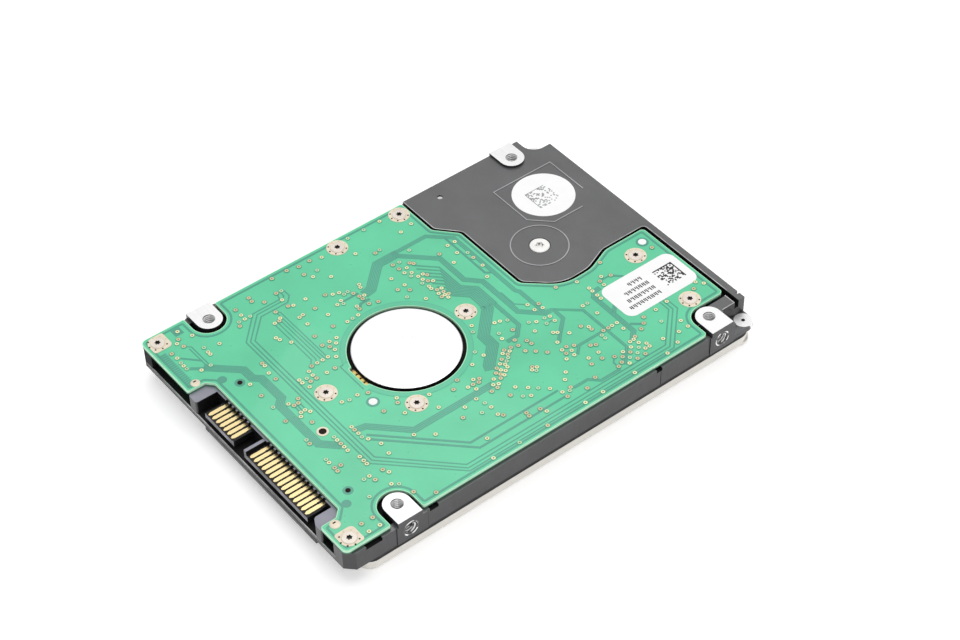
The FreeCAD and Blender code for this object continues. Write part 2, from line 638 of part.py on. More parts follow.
def make_board():
    body = new_body("circuit_board")
    pad(body, "board_sheet_pad", D["board_bottom"], BOARD_TOP, lambda s: outline(s, board_edge()))
    low = D["board_bottom"] - 0.1
    high = BOARD_TOP + 0.1
    pocket(body, "spindle_hole", low, high, lambda s: circle(s, 0, D["spindle_y"], D["board_hole"]))
    pocket(body, "lead_notch", low, high, lambda s: outline(s, [
        (-2.6, -19.0), (3.1, -19.0), (3.1, -22.7, 0.4), (-2.6, -22.7, 0.4)]))
    pocket(body, "screw_holes", low, high, lambda s: [circle(s, x, y, 0.95) for x, y in BOARD_SCREWS])
    pocket(body, "tooling_holes", low, high, lambda s: [
        circle(s, 7.4, -24.2, 0.9), circle(s, 6.2, 44.7, 0.9), circle(s, 7.6, -36.1, 0.75),
        circle(s, -12.8, -41.0, 0.45), circle(s, 22.4, -41.0, 0.45),
        circle(s, -18.2, -47.7, 0.55), circle(s, 27.6, -47.6, 0.55)])

    master = new_body("board_screw", listed=False)
    head = D["screw_head"]
    thread = D["screw_thread"]
    turned(master, "board_screw_turned", [
        (0, 6.9), (thread, 6.9), (thread, BOARD_TOP), (head, BOARD_TOP), (head, D["height"] - 0.08),
        (head - 0.12, D["height"]), (0, D["height"])])
    pocket(master, "board_screw_socket", D["height"] - 0.55, D["height"] + 0.1,
           lambda s: lobed_socket(s, 0.62))
    group("board_screws", master, [(x, y, 0, 17.0 * n) for n, (x, y) in enumerate(BOARD_SCREWS)])

    film = new_body("insulator_sheet")
    film_low = D["well_floor"]
    film_high = film_low + 0.12
    pad(film, "film_sheet", film_low, film_high, lambda s: outline(s, [
        (-25.6, -42.6, 1.0), (25.6, -42.6, 1.0), (25.6, -31.0, 1.0), (32.6, -31.0, 1.0),
        (32.6, 35.6, 1.0), (26.4, 36.6, 1.0), (26.4, 46.6, 1.0), (4.0, 46.6, 1.0),
        (4.0, 38.4, 2.0), (6.2, 31.8, 3.0), (6.4, 24.4, 3.0), (0.2, 17.2, 1.0),
        (-20.0, 17.2, 1.0), (-24.4, 13.2, 1.0), (-28.8, 13.2, 1.0), (-28.8, -31.0, 1.0),
        (-25.6, -31.0, 1.0)]))
    pocket(film, "film_window", film_low - 0.1, film_high + 0.1,
           lambda s: circle(s, 0, D["spindle_y"], D["cup_radius"] + 0.3))
    for number, (x, y) in enumerate(BOARD_SCREWS[2:7], start=1):
        pocket(film, f"film_hole_{number}", film_low - 0.1, film_high + 0.1,
               lambda s, x=x, y=y: circle(s, x, y, 2.2))

    chip_top = D["board_bottom"]
    chips = [
        ("controller_chip", 15.0, -11.5, 13.0, 13.0, 0.95),
        ("memory_chip", -28.5, -16.0, 8.0, 11.0, 0.95),
        ("motor_driver_chip", -12.5, -36.5, 7.5, 7.5, 0.85),
        ("flash_chip", 14.5, -30.0, 5.0, 4.0, 0.75),
        ("crystal", 22.0, -22.5, 3.2, 2.5, 0.7),
    ]
    for name, left, front, across, along, tall in chips:
        listed(box(name, left, front, chip_top - tall, across, along, tall))
    compound("power_inductors", [
        box(f"power_inductor_{n}", x, y, chip_top - 1.0, 3.6, 3.6, 1.0)
        for n, (x, y) in enumerate(((-25.0, -24.0), (-20.0, -30.5)), start=1)])
    compound("shock_sensors", [
        box(f"shock_sensor_{n}", x, y, chip_top - 0.9, 2.8, 1.6, 0.9)
        for n, (x, y) in enumerate(((26.5, 31.0), (22.5, -40.5)), start=1)])
    capacitor_places = [
        (-24.5, 13.0), (-21.0, 8.0), (-17.0, 9.5), (12.5, 8.5), (15.5, 8.5), (18.5, 8.5),
        (21.5, 8.5), (-4.0, -37.5), (2.0, -37.5), (8.5, -33.0), (22.0, 14.0), (22.0, 18.0),
        (22.0, 22.0), (10.0, 22.0), (10.0, 26.0)]
    compound("capacitors", [
        box(f"capacitor_{n}", x, y, chip_top - 0.6, 1.6, 0.8, 0.6)
        for n, (x, y) in enumerate(capacitor_places, start=1)])

    prism("board_label", BOARD_TOP, BOARD_TOP + D["label_sheet"], lambda s: outline(s, [
        (11.5, 28.3, 2.0), (21.5, 28.3, 2.0), (21.5, 46.8, 2.0), (11.5, 46.8, 2.0)]))
    ring("round_label", 0, 6.65, D["deck_top"], D["deck_top"] + D["label_sheet"], (-17.9, 38.6))


# ---------------------------------------------------------------- connector

def contact_centres():
    """X of the first signal contact and of the first power contact."""
    span = D["contact_pitch"] * 25
    first_signal = D["connector_x"] - span / 2
    first_power = first_signal + D["contact_pitch"] * 11
    return first_signal, first_power


def make_connector():
    first_signal, first_power = contact_centres()
    pitch = D["contact_pitch"]
    top = D["housing_top"]
    front = -HALF_LENGTH
    back = POCKET_BACK - 0.02
    tip = front + 0.35
    body = new_body("sata_housing")
    left_end = D["connector_x"] - 21.9
    right_end = D["connector_x"] + 21.9
    floor = D["shelf_top"] + 0.02
    pad(body, "back_wall", floor, top, lambda s: rectangle(s, left_end, right_end, -45.3, back))
    pad(body, "left_arm", floor, top, lambda s: outline(s, [
        (left_end, front, 0.5), (left_end + 2.7, front, 0.5), (left_end + 2.7, -45.2),
        (left_end, -45.2)]))
    pad(body, "right_arm", floor, top, lambda s: outline(s, [
        (right_end - 3.6, front + 0.9, 0.9), (right_end - 1.9, front, 0.9), (right_end, front, 0.5),
        (right_end, -45.2), (right_end - 3.6, -45.2)]))
    signal_left = first_signal - 0.95
    signal_right = first_signal + pitch * (SIGNAL_CONTACTS - 1) + 1.15
    power_left = first_power - 1.75
    power_right = first_power + pitch * (POWER_CONTACTS - 1) + 0.95
    tongue_low = D["tongue_bottom"]
    tongue_high = D["tongue_top"]
    pad(body, "signal_tongue", tongue_low, tongue_high,
        lambda s: rectangle(s, signal_left, signal_right, tip, -45.2))
    pad(body, "power_tongue", tongue_low, tongue_high,
        lambda s: rectangle(s, power_left, power_right, tip, -45.2))
    pad(body, "signal_key", tongue_high, tongue_high + 0.25,
        lambda s: rectangle(s, signal_right - 0.5, signal_right, tip, -45.2))
    pad(body, "power_key", tongue_high, tongue_high + 0.95,
        lambda s: rectangle(s, power_left, power_left + 0.7, tip, -45.2))
    pocket(body, "contact_slots", tongue_high, top + 0.1, lambda s: [
        rectangle(s, first + pitch * n - 0.36, first + pitch * n + 0.36, -45.31, -44.95)
        for first, count in ((first_signal, SIGNAL_CONTACTS), (first_power, POWER_CONTACTS))
        for n in range(count)])

    half = D["contact_width"] / 2
    tail = 0.33
    contact = new_body("contact", listed=False)
    pad(contact, "contact_strip", tongue_high, tongue_high + 0.12, lambda s: polygon(s, [
        (-half, tip + 0.75), (-0.16, tip + 0.25), (0.16, tip + 0.25), (half, tip + 0.75),
        (half, -45.34), (tail, -45.34), (tail, -45.0), (-tail, -45.0), (-tail, -45.34),
        (-half, -45.34)]))
    groups = (("signal_contacts", first_signal, SIGNAL_CONTACTS),
              ("power_contacts", first_power, POWER_CONTACTS))
    for name, first, count in groups:
        group(name, contact, [((first + pitch * n).value, 0, 0, 0) for n in range(count)])


# ---------------------------------------------------------------- spindle motor

def make_spindle():
    cup = new_body("motor_base", *SPINDLE)
    turned(cup, "motor_cup", [
        (3.2, 5.6), (4.2, 5.6), (4.2, 7.7), (11.7, 7.7), (11.7, D["bay_ceiling"]),
        (D["cup_radius"], D["bay_ceiling"]), (D["cup_radius"], D["wall_top"]),
        (D["disc_radius"], D["wall_top"]), (D["disc_radius"], D["disc_top"] - 0.06),
        (D["disc_radius"] - 0.15, D["disc_top"]), (3.2, D["disc_top"])])
    sleeve = D["shaft_radius"] + D["running_gap"]
    turned(new_body("bearing_sleeve", *SPINDLE), "sleeve_turned", [
        (sleeve, 2.2), (3.2, 2.2), (3.2, 8.0), (sleeve, 8.0)])
    turned(new_body("bearing_cap", *SPINDLE), "cap_turned", [
        (0, 8.0), (3.2, 8.0), (3.2, D["disc_top"] - 0.02), (0, D["disc_top"] - 0.02)])

    core = new_body("stator_core", *SPINDLE)
    pad(core, "core_ring", 6.0, 7.0, lambda s: (circle(s, 0, 0, 5.7), circle(s, 0, 0, 4.2)))
    tooth = pad(core, "core_tooth", 6.0, 7.0, lambda s: outline(s, [
        (5.3, -0.55), (8.5, -0.55), (8.7, -2.2), (9.1, -2.2), (9.3, 0.0), (9.1, 2.2),
        (8.7, 2.2), (8.5, 0.55), (5.3, 0.55)]))
    pattern = core.newObject("PartDesign::PolarPattern", "core_teeth")
    pattern.Originals = [tooth]
    pattern.Axis = (tooth.Profile[0], ["N_Axis"])
    pattern.Angle = 360.0
    pattern.Occurrences = STATOR_TEETH
    core.Tip = pattern
    coil = new_body("tooth_coil", listed=False)
    pad(coil, "coil_block", 5.6, 7.4, lambda s: outline(s, [
        (6.0, -1.1, 0.3), (8.2, -1.1, 0.3), (8.2, 1.1, 0.3), (6.0, 1.1, 0.3)]))
    pocket(coil, "coil_window", 5.98, 7.02, lambda s: rectangle(s, 5.5, 8.6, -0.57, 0.57))
    group("stator_coils", coil, [
        (*SPINDLE, 0, 360.0 / STATOR_TEETH * n) for n in range(STATOR_TEETH)])

    low = D["low_platter"]
    bore = D["platter_bore"]
    shaft = D["shaft_radius"]
    turned(new_body("rotor_hub", *SPINDLE), "hub_turned", [
        (shaft, 1.0), (6.0, 1.0), (6.0, low), (bore - 0.02, low), (bore - 0.02, HIGH_DISK_TOP),
        (12.4, HIGH_DISK_TOP), (12.4, 5.4), (11.3, 5.4), (11.3, 7.3), (10.5, 7.3), (10.5, 5.4),
        (3.5, 5.4), (3.5, 2.0), (shaft, 2.0)])
    turned(new_body("spindle_shaft", *SPINDLE), "shaft_turned", [
        (0, 1.0), (shaft, 1.0), (shaft, 7.9), (0, 7.9)])
    ring("rotor_magnet", 9.75, 10.5, 5.5, 7.2, SPINDLE)
    ring("lower_platter", bore, D["platter_radius"], low, LOW_DISK_TOP, SPINDLE)
    ring("upper_platter", bore, D["platter_radius"], D["high_platter"], HIGH_DISK_TOP, SPINDLE)
    ring("disk_spacer", bore, 12.3, LOW_DISK_TOP, D["high_platter"], SPINDLE)
    turned(new_body("disk_clamp", *SPINDLE), "clamp_turned", [
        (1.2, 0.8), (11.2, 0.8), (12.0, 1.1), (12.0, low), (10.6, low), (9.6, 1.0), (1.2, 1.0)])
    ring("clamp_screw", 0, 1.1, 0.62, 1.0, SPINDLE)

    listed(box("motor_flex", -2.5, -25.2, D["wall_top"] + 0.01, 5.5, 3.6, 0.07))
    compound("motor_contacts", [
        box(f"motor_contact_{n}", -1.95 + 1.3 * n, -22.6, D["wall_top"] + 0.08, 0.75, 1.0, 0.06)
        for n in range(4)])


# ---------------------------------------------------------------- actuator and voice coil motor

def make_actuator():
    park = D["park_angle"].value
    sheet = D["suspension_sheet"].value
    slider = D["slider_sheet"].value
    fly = D["fly_height"].value
    low = D["low_platter"].value
    high = D["high_platter"].value
    under_low = low - fly - slider - sheet
    over_low = LOW_DISK_TOP.value + fly + slider
    under_high = high - fly - slider - sheet
    over_high = HIGH_DISK_TOP.value + fly + slider

    body = new_body("actuator_block", *PIVOT, 0.0, park)
    pad(body, "hub_block", 0.8, 5.7, lambda s: circle(s, 0, 0, D["block_radius"]))
    levels = (("low_arm", 0.8, under_low), ("middle_arm", over_low + sheet, under_high),
              ("high_arm", over_high + sheet, 5.75))
    for name, bottom, top in levels:
        pad(body, name, bottom, top, lambda s: (
            outline(s, [(0.0, -5.2), (12.0, -3.4), (24.5, -1.9, 0.8), (24.5, 1.9, 0.8),
                        (12.0, 3.4), (0.0, 5.2)]),
            outline(s, [(9.0, -1.6, 0.8), (18.5, -0.9, 0.8), (18.5, 0.9, 0.8), (9.0, 1.6, 0.8)])))
    pad(body, "coil_neck", 2.95, 3.75, lambda s: sector(s, 4.6, 10.42, 23.5, 180.0))
    pocket(body, "hub_bore", 0, 6, lambda s: circle(s, 0, 0, D["sleeve_radius"]))

    ring("pivot_sleeve", 3.2, D["sleeve_radius"], 0.85, 5.65, PIVOT)
    bearing = new_body("pivot_bearing", listed=False)
    inner = 1.6 + D["running_gap"].value
    turned(bearing, "bearing_turned", [(inner, 0), (3.2, 0), (3.2, 1.3), (inner, 1.3)])
    group("pivot_bearings", bearing, [(*PIVOT, z, 0) for z in (0.95, 4.2)])
    ring("pivot_shaft", 0, 1.6, 0.75, 5.95, PIVOT)
    screw = new_body("pivot_screw", *PIVOT)
    turned(screw, "pivot_screw_turned", [
        (0, 5.96), (1.22, 5.96), (1.22, D["deck_top"] - 0.45), (2.1, D["deck_top"] - 0.45),
        (2.1, D["deck_top"] - 0.02), (1.95, D["deck_top"] + 0.1), (0, D["deck_top"] + 0.1)])
    pocket(screw, "pivot_screw_socket", D["deck_top"] - 0.4, D["deck_top"] + 0.2,
           lambda s: lobed_socket(s, 0.95))

    blade = new_body("suspension", listed=False)
    pad(blade, "suspension_sheet_pad", 0, D["suspension_sheet"], lambda s: outline(s, [
        (21.0, -1.7, 0.4), (25.0, -1.7), (33.4, -0.5), (33.6, -0.25), (35.0, -0.25),
        (35.0, 0.25), (33.6, 0.25), (33.4, 0.5), (25.0, 1.7), (21.0, 1.7, 0.4)]))
    group("suspensions", blade, [
        (*PIVOT, z, park) for z in (under_low, over_low, under_high, over_high)])
    head = new_body("slider", listed=False)
    arm = D["arm_length"]
    pad(head, "slider_block", 0, D["slider_sheet"],
        lambda s: rectangle(s, arm - 0.6, arm + 0.6, -0.42, 0.42))
    group("sliders", head, [
        (*PIVOT, z, park) for z in (
            low - fly - slider, LOW_DISK_TOP.value + fly, high - fly - slider,
            HIGH_DISK_TOP.value + fly)])
    prism("preamp_chip", 1.6, 4.6, lambda s: rectangle(s, 4.2, 7.2, 5.35, 6.15), PIVOT, park)

    coil_low = D["coil_low"]
    coil_high = D["coil_high"]
    prism("voice_coil", coil_low, coil_high, lambda s: (
        sector(s, 11.0, 19.0, 20.0, 180.0), sector(s, 13.2, 16.8, 12.0, 180.0)), PIVOT, park)
    holder = new_body("coil_holder", *PIVOT, 0.0, park)
    pad(holder, "holder_frame", 2.95, 3.75, lambda s: (
        sector(s, 10.42, 19.8, 23.5, 180.0), sector(s, 11.0, 19.0, 20.0, 180.0)))

    sheet_yoke = D["yoke_sheet"]
    magnet = D["magnet_sheet"]
    low_yoke = 0.75
    low_magnet = low_yoke + sheet_yoke
    high_yoke = 5.15
    reach = 34.0
    for name, bottom in (("lower_yoke", low_yoke), ("upper_yoke", high_yoke)):
        yoke = new_body(name, *PIVOT)
        pad(yoke, f"{name}_plate", bottom, bottom + sheet_yoke,
            lambda s: sector(s, 9.4, 20.0, reach, COIL_AXIS))
        pad(yoke, f"{name}_ears", bottom, bottom + sheet_yoke, lambda s: [
            circle(s, *polar(*place), 1.6) for place in POST_PLACES])
    prism("lower_magnet", low_magnet, low_magnet + magnet,
          lambda s: sector(s, 10.6, 19.2, 31.0, COIL_AXIS), PIVOT)
    prism("upper_magnet", high_yoke - magnet, high_yoke,
          lambda s: sector(s, 10.6, 19.2, 31.0, COIL_AXIS), PIVOT)
    compound("yoke_posts", [
        cylinder(f"yoke_post_{n}", PIVOT[0] + x, PIVOT[1] + y, low_magnet, 0.8, high_yoke - low_magnet)
        for n, (x, y) in enumerate((polar(*place) for place in POST_PLACES), start=1)])


# ---------------------------------------------------------------- bay furniture

def make_bay_parts():
    ramp = new_body("load_ramp", *PIVOT)
    park = D["park_angle"].value
    ceiling = D["bay_ceiling"]
    pad(ramp, "ramp_back", 1.0, ceiling, lambda s: sector(s, 35.6, 37.8, 3.2, park - 0.6))
    for name, bottom, top in (("low_finger", 1.4, 2.42), ("high_finger", 4.0, 5.02)):
        pad(ramp, name, bottom, top, lambda s: sector(s, 33.7, 35.7, 2.1, park + 0.3))
    foot_x, foot_y = polar(38.6, park + 1.4)
    pad(ramp, "ramp_foot", 5.0, ceiling, lambda s: circle(s, foot_x, foot_y, 1.7))
    screw_x = PIVOT[0] + foot_x
    screw_y = PIVOT[1] + foot_y
    listed(cylinder("ramp_screw", screw_x, screw_y, 4.5, 0.75, 0.5))

    stop_height = D["coil_low"] - 0.2
    compound("crash_stops", [
        cylinder(f"crash_stop_{n}", PIVOT[0] + x, PIVOT[1] + y, stop_height, 0.7, 2.0)
        for n, (x, y) in enumerate((polar(15.0, 183.2), polar(15.0, 93.2)), start=1)])
    listed(cylinder("latch_pin", -31.0, 21.5, 1.2, 0.6, D["deck_top"] - 0.2 - 1.2))
    latch = new_body("latch_lever")
    pad(latch, "latch_blade", 2.6, 3.6, lambda s: outline(s, [
        (-32.3, 21.0), (-29.9, 20.6), (-28.6, 26.6), (-27.9, 30.6, 0.3), (-28.8, 30.9, 0.3),
        (-30.6, 27.0)]))
    pad(latch, "latch_hub", 2.4, 3.8, lambda s: circle(s, -31.0, 21.5, 1.4))
    pocket(latch, "latch_bore", 2.0, 4.2,
           lambda s: circle(s, -31.0, 21.5, 0.6 + D["running_gap"]))

    prism("recirculation_filter", 0.9, 5.9, lambda s: outline(s, [
        (-25.4, 20.9), (-18.6, 19.9), (-18.4, 21.4), (-25.2, 22.4)]))
    ring("breather_filter", 0, 3.6, 5.4, ceiling, (20.6, 41.2))
    prism("head_connector", 1.3, ceiling, lambda s: outline(s, [
        (10.2, 30.6, 0.5), (18.4, 30.6, 0.5), (18.4, 36.4, 0.5), (10.2, 36.4, 0.5)]))
    prism("flex_cable", 1.8, 4.8, flex_shape)


def flex_shape(sketch):
    """The head lead's loop, a thin ribbon seen on edge."""
    thick = 0.15
    start = Vector(0.6, 32.3, 0)
    middle = Vector(5.4, 36.6, 0)
    finish = Vector(10.2, 33.4, 0)
    across = Vector(thick, 0, 0)
    down = Vector(0, thick, 0)
    edges = [
        Part.Arc(start, middle, finish),
        Part.LineSegment(finish, finish - down),
        Part.Arc(finish - down, middle - down, start + across),
        Part.LineSegment(start + across, start)]
    sketch.addGeometry(edges, False)


# ---------------------------------------------------------------- build, check and write

def check_document():
    """Stop if any object failed, or a sub-part's shape is missing or not valid."""
    failed = [item.Name for item in doc.Objects if {"Invalid", "Error"} & set(item.State)]
    if failed:
        raise RuntimeError("failed objects: " + ", ".join(failed))
    for item in PARTS:
        if item.Shape.isNull() or not item.Shape.isValid() or not item.Shape.Solids:
            raise RuntimeError("bad shape: " + item.Label)


def check_cuts():
    """Stop if a pocket took nothing away or a pad added nothing."""
    for item in doc.Objects:
        if item.TypeId not in ("PartDesign::Pocket", "PartDesign::Pad") or item.BaseFeature is None:
            continue
        change = item.Shape.Volume - item.BaseFeature.Shape.Volume
        wanted = 1 if item.TypeId.endswith("Pad") else -1
        if change * wanted < 1e-6:
            raise RuntimeError(f"{item.Name} changed nothing")


def main():
    make_casting()
    make_cover()
    make_board()
    make_connector()
    make_spindle()
    make_actuator()
    make_bay_parts()
    doc.recompute()
    check_document()
    check_cuts()
    os.makedirs("parts", exist_ok=True)
    for item in PARTS:
        item.Shape.exportStep(f"parts/{item.Label}.step")
        print(f"{item.Label}: {len(item.Shape.Solids)} solids, {item.Shape.Volume:.2f} mm3")
    print(len(PARTS), "sub-parts")


main()
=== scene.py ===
"""Looks for a small laptop hard disk drive, seen from its circuit board side.

Everything is in millimetres until it is handed to Blender, where MM turns it into metres.
"""

import math
import random

import bmesh
import bpy
from mathutils import Matrix, Vector


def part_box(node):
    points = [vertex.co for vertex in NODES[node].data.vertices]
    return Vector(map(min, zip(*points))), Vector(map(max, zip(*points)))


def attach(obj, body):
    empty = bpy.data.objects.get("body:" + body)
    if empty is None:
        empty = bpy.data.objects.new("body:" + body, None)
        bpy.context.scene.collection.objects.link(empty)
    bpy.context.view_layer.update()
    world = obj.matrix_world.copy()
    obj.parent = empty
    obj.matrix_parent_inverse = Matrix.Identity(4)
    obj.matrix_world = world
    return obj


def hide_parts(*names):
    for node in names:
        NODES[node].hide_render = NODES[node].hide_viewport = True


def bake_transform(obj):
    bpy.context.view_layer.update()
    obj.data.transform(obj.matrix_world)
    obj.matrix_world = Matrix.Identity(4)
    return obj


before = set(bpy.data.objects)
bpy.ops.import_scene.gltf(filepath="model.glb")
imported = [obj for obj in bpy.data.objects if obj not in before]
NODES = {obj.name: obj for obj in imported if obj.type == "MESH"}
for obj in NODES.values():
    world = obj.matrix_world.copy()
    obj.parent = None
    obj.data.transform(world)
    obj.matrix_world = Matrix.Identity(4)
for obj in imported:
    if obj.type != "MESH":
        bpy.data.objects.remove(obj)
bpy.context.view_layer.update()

MM = 0.001
DECK_TOP = 8.9
BOARD_TOP = 9.2
BOARD_THICKNESS = 0.8
LABEL_TOP = 9.28
SIDE_FACE = 34.925
SIDE_HOLE_Z = 6.5
CONTACT_PITCH = 1.27
SPINDLE = (0.0, -10.6)
PIVOT = (-6.5, 28.2)
# The four U-shaped mounting pads, and what else stands or opens at a place of its own.
BOSSES = [(side * 30.86, y) for side in (-1, 1) for y in (-36.1, 40.5)]
REAR_LUGS = [(-32.8, 48.15), (32.8, 48.15)]
WALL_NOTCHES = [(-46.1, -42.3), (-31.7, -29.5), (23.4, 25.0)]
TEST_POINTS = [(-12.8, -41.0), (22.4, -41.0)]
TOOLING_HOLES = [(7.4, -24.2), (6.2, 44.7)]
BOARD_SCREWS = [
    (-31.7, 11.4), (-31.7, -4.3), (-0.6, 4.5), (13.0, -18.0), (-0.1, -29.8),
    (8.4, 41.0), (24.7, 41.0), (-31.75, -47.5), (31.75, -47.5),
]


# ------------------------------------------------------------------ materials

# Divides the height away where only the distance from an axis counts.
ENDLESS = 1e6


class Look:
    """A node material whose texture coordinates are in millimetres."""

    def __init__(self, name, rough=0.4, metallic=0.0, coat=0.0, specular=0.5):
        self.material = bpy.data.materials.new(name)
        self.material.use_nodes = True
        self.tree = self.material.node_tree
        self.shader = self.tree.nodes["Principled BSDF"]
        self.shader.inputs["Roughness"].default_value = rough
        self.shader.inputs["Metallic"].default_value = metallic
        self.shader.inputs["Coat Weight"].default_value = coat
        self.shader.inputs["Specular IOR Level"].default_value = specular
        self.place = self.node("ShaderNodeTexCoord").outputs["Object"]
        self.normal = None

    def node(self, kind, **values):
        made = self.tree.nodes.new(kind)
        for key, value in values.items():
            setattr(made, key, value)
        return made

    def link(self, start, end):
        self.tree.links.new(start, end)

    def coords(self, stretch=(1.0, 1.0, 1.0), turn=0.0):
        """Object coordinates in millimetres, stretched."""
        mapping = self.node("ShaderNodeMapping")
        mapping.inputs["Scale"].default_value = [s / MM for s in stretch]
        mapping.inputs["Rotation"].default_value = (0, 0, turn)
        self.link(self.place, mapping.inputs["Vector"])
        return mapping.outputs["Vector"]

    def radius(self, centre):
        """Distance from an upright axis, for turned surfaces."""
        mapping = self.node("ShaderNodeMapping", vector_type="TEXTURE")
        mapping.inputs["Location"].default_value = (centre[0] * MM, centre[1] * MM, 0)
        mapping.inputs["Scale"].default_value = (MM, MM, ENDLESS)
        self.link(self.place, mapping.inputs["Vector"])
        length = self.node("ShaderNodeVectorMath", operation="LENGTH")
        self.link(mapping.outputs["Vector"], length.inputs[0])
        return length.outputs["Value"]

    def noise(self, scale, detail=3.0, stretch=(1.0, 1.0, 1.0), turn=0.0):
        made = self.node("ShaderNodeTexNoise")
        made.inputs["Scale"].default_value = scale
        made.inputs["Detail"].default_value = detail
        self.link(self.coords(stretch, turn), made.inputs["Vector"])
        return made.outputs["Fac"]

    def rings(self, centre, pitch):
        """Fine random rings about an axis."""
        made = self.node("ShaderNodeTexNoise", noise_dimensions="1D")
        made.inputs["Scale"].default_value = 1.0 / pitch
        made.inputs["Detail"].default_value = 2.0
        self.link(self.radius(centre), made.inputs["W"])
        return made.outputs["Fac"]

    def waves(self, scale, direction, distortion):
        made = self.node("ShaderNodeTexWave", bands_direction=direction)
        made.inputs["Scale"].default_value = scale
        made.inputs["Distortion"].default_value = distortion
        self.link(self.coords(), made.inputs["Vector"])
        return made.outputs["Fac"]

    def colour(self, factor, *stops):
        """Base colour from a factor through a ramp of (position, colour)."""
        ramp = self.node("ShaderNodeValToRGB")
        elements = ramp.color_ramp.elements
        while len(elements) < len(stops):
            elements.new(0.5)
        for element, (at, rgb) in zip(elements, stops):
            element.position = at
            element.color = (*rgb, 1.0)
        self.link(factor, ramp.inputs["Fac"])
        self.link(ramp.outputs["Color"], self.shader.inputs["Base Color"])
        return self

    def mottled(self, factor, rgb, spread):
        """Base colour that wanders a share below and above one colour."""
        return self.colour(factor, (0.3, shade(rgb, 1 - spread)), (0.7, shade(rgb, 1 + spread)))

    def rough(self, factor, low, high):
        """Roughness between two values, from the middle half of a factor."""
        spread = self.node("ShaderNodeMapRange")
        spread.inputs["From Min"].default_value = 0.25
        spread.inputs["From Max"].default_value = 0.75
        spread.inputs["To Min"].default_value = low
        spread.inputs["To Max"].default_value = high
        self.link(factor, spread.inputs["Value"])
        self.link(spread.outputs["Result"], self.shader.inputs["Roughness"])
        return self

    def bump(self, factor, height, strength=1.0):
        """Adds relief of that height in millimetres."""
        made = self.node("ShaderNodeBump")
        made.inputs["Distance"].default_value = height * MM
        made.inputs["Strength"].default_value = strength
        self.link(factor, made.inputs["Height"])
        if self.normal is not None:
            self.link(self.normal, made.inputs["Normal"])
        self.normal = made.outputs["Normal"]
        self.link(self.normal, self.shader.inputs["Normal"])
        return self


def shade(rgb, share):
    return tuple(min(1.0, c * share) for c in rgb)


def plain(name, rgb, rough=0.45, metallic=0.0, coat=0.0, grain=1.2, relief=0.01, spread=0.12,
          specular=0.5, stretch=(1, 1, 1)):
    """A surface with slight mottling, uneven gloss and a fine grain."""
    look = Look(name, rough, metallic, coat, specular)
    mottle = look.noise(0.35, 4.0, stretch)
    look.mottled(mottle, rgb, spread)
    look.rough(look.noise(0.8, 3.0, stretch), max(0.03, rough - 0.07), rough + 0.07)
    look.bump(look.noise(grain, 3.0, stretch), relief)
    return look.material


def brushed(name, rgb, rough=0.3, along="Y", relief=0.004, spread=0.08, metallic=1.0):
    """Sheet metal with a fine grain along one axis."""
    stretch = {"X": (0.08, 4.0, 4.0), "Y": (4.0, 0.08, 4.0), "Z": (4.0, 4.0, 0.08)}[along]
    look = Look(name, rough, metallic)
    grain = look.noise(2.2, 4.0, stretch)
    look.mottled(grain, rgb, spread)
    look.rough(grain, rough - 0.08, rough + 0.1)
    look.bump(grain, relief)
    look.bump(look.noise(0.3, 2.0), relief * 2)
    return look.material


def turned(name, rgb, centre, rough=0.3, pitch=0.12, relief=0.004, spread=0.05):
    """A lathe-turned face: fine rings about an upright axis."""
    look = Look(name, rough, 1.0)
    ring = look.rings(centre, pitch)
    look.mottled(ring, rgb, spread)
    look.rough(ring, rough - 0.06, rough + 0.08)
    look.bump(ring, relief)
    look.bump(look.noise(0.5, 3.0), relief)
    return look.material


def solder_mask(name, rgb, relief=0.012):
    """Glossy lacquer over glass weave."""
    look = Look(name, 0.3, 0.0, 0.35)
    cloud = look.noise(0.09, 5.0)
    look.colour(cloud, (0.3, shade(rgb, 0.93)), (0.7, shade(rgb, 1.06)))
    look.rough(look.noise(0.7, 4.0), 0.26, 0.42)
    look.bump(look.waves(0.75, "X", 0.3), relief * 0.12)
    look.bump(look.waves(0.75, "Y", 0.3), relief * 0.12)
    look.bump(look.noise(1.6, 4.0), relief)
    return look.material


def laminate(name):
    """The sawn edge of the board: darker towards the bottom, pale towards the top, where it is
    brightened as painted highlight.
    """
    look = Look(name, 0.6)
    height = look.node("ShaderNodeMapRange")
    height.inputs["From Min"].default_value = BOARD_TOP - BOARD_THICKNESS
    height.inputs["From Max"].default_value = BOARD_TOP
    split = look.node("ShaderNodeSeparateXYZ")
    look.link(look.coords(), split.inputs["Vector"])
    look.link(split.outputs["Z"], height.inputs["Value"])
    look.colour(height.outputs["Result"], (0.0, (0.05, 0.16, 0.10)), (0.38, (0.08, 0.24, 0.15)),
                (0.5, (0.50, 0.84, 0.58)), (0.9, (0.66, 0.93, 0.72)))
    look.bump(look.noise(6.0, 4.0, (1, 1, 3)), 0.03)
    look.bump(look.waves(2.4, "Z", 1.2), 0.02)
    return look.material


def patchy(name, dark, bright):
    """Metal whose coat has rubbed through in patches; the bright and dark patches are also painted
    glints and shade.
    """
    look = Look(name, 0.42, 0.3)
    look.colour(look.noise(0.75, 2.0), (0.44, (dark,) * 3), (0.52, (bright,) * 3))
    look.bump(look.noise(1.5, 3.0), 0.03)
    return look.material


def coat_paint(name, rgb, gloss=1.0, spread=0.15):
    """Electrocoat on a die casting: satin, slightly rippled, with faint scuffs."""
    look = Look(name, 0.34, 0.0, 0.5 * gloss, gloss)
    look.mottled(look.noise(0.12, 5.0), rgb, spread)
    look.rough(look.noise(0.25, 5.0, (1, 3, 1), 0.6), 0.28, 0.42)
    look.bump(look.noise(1.1, 3.0), 0.012)
    look.bump(look.noise(5.0, 2.0), 0.004)
    return look.material


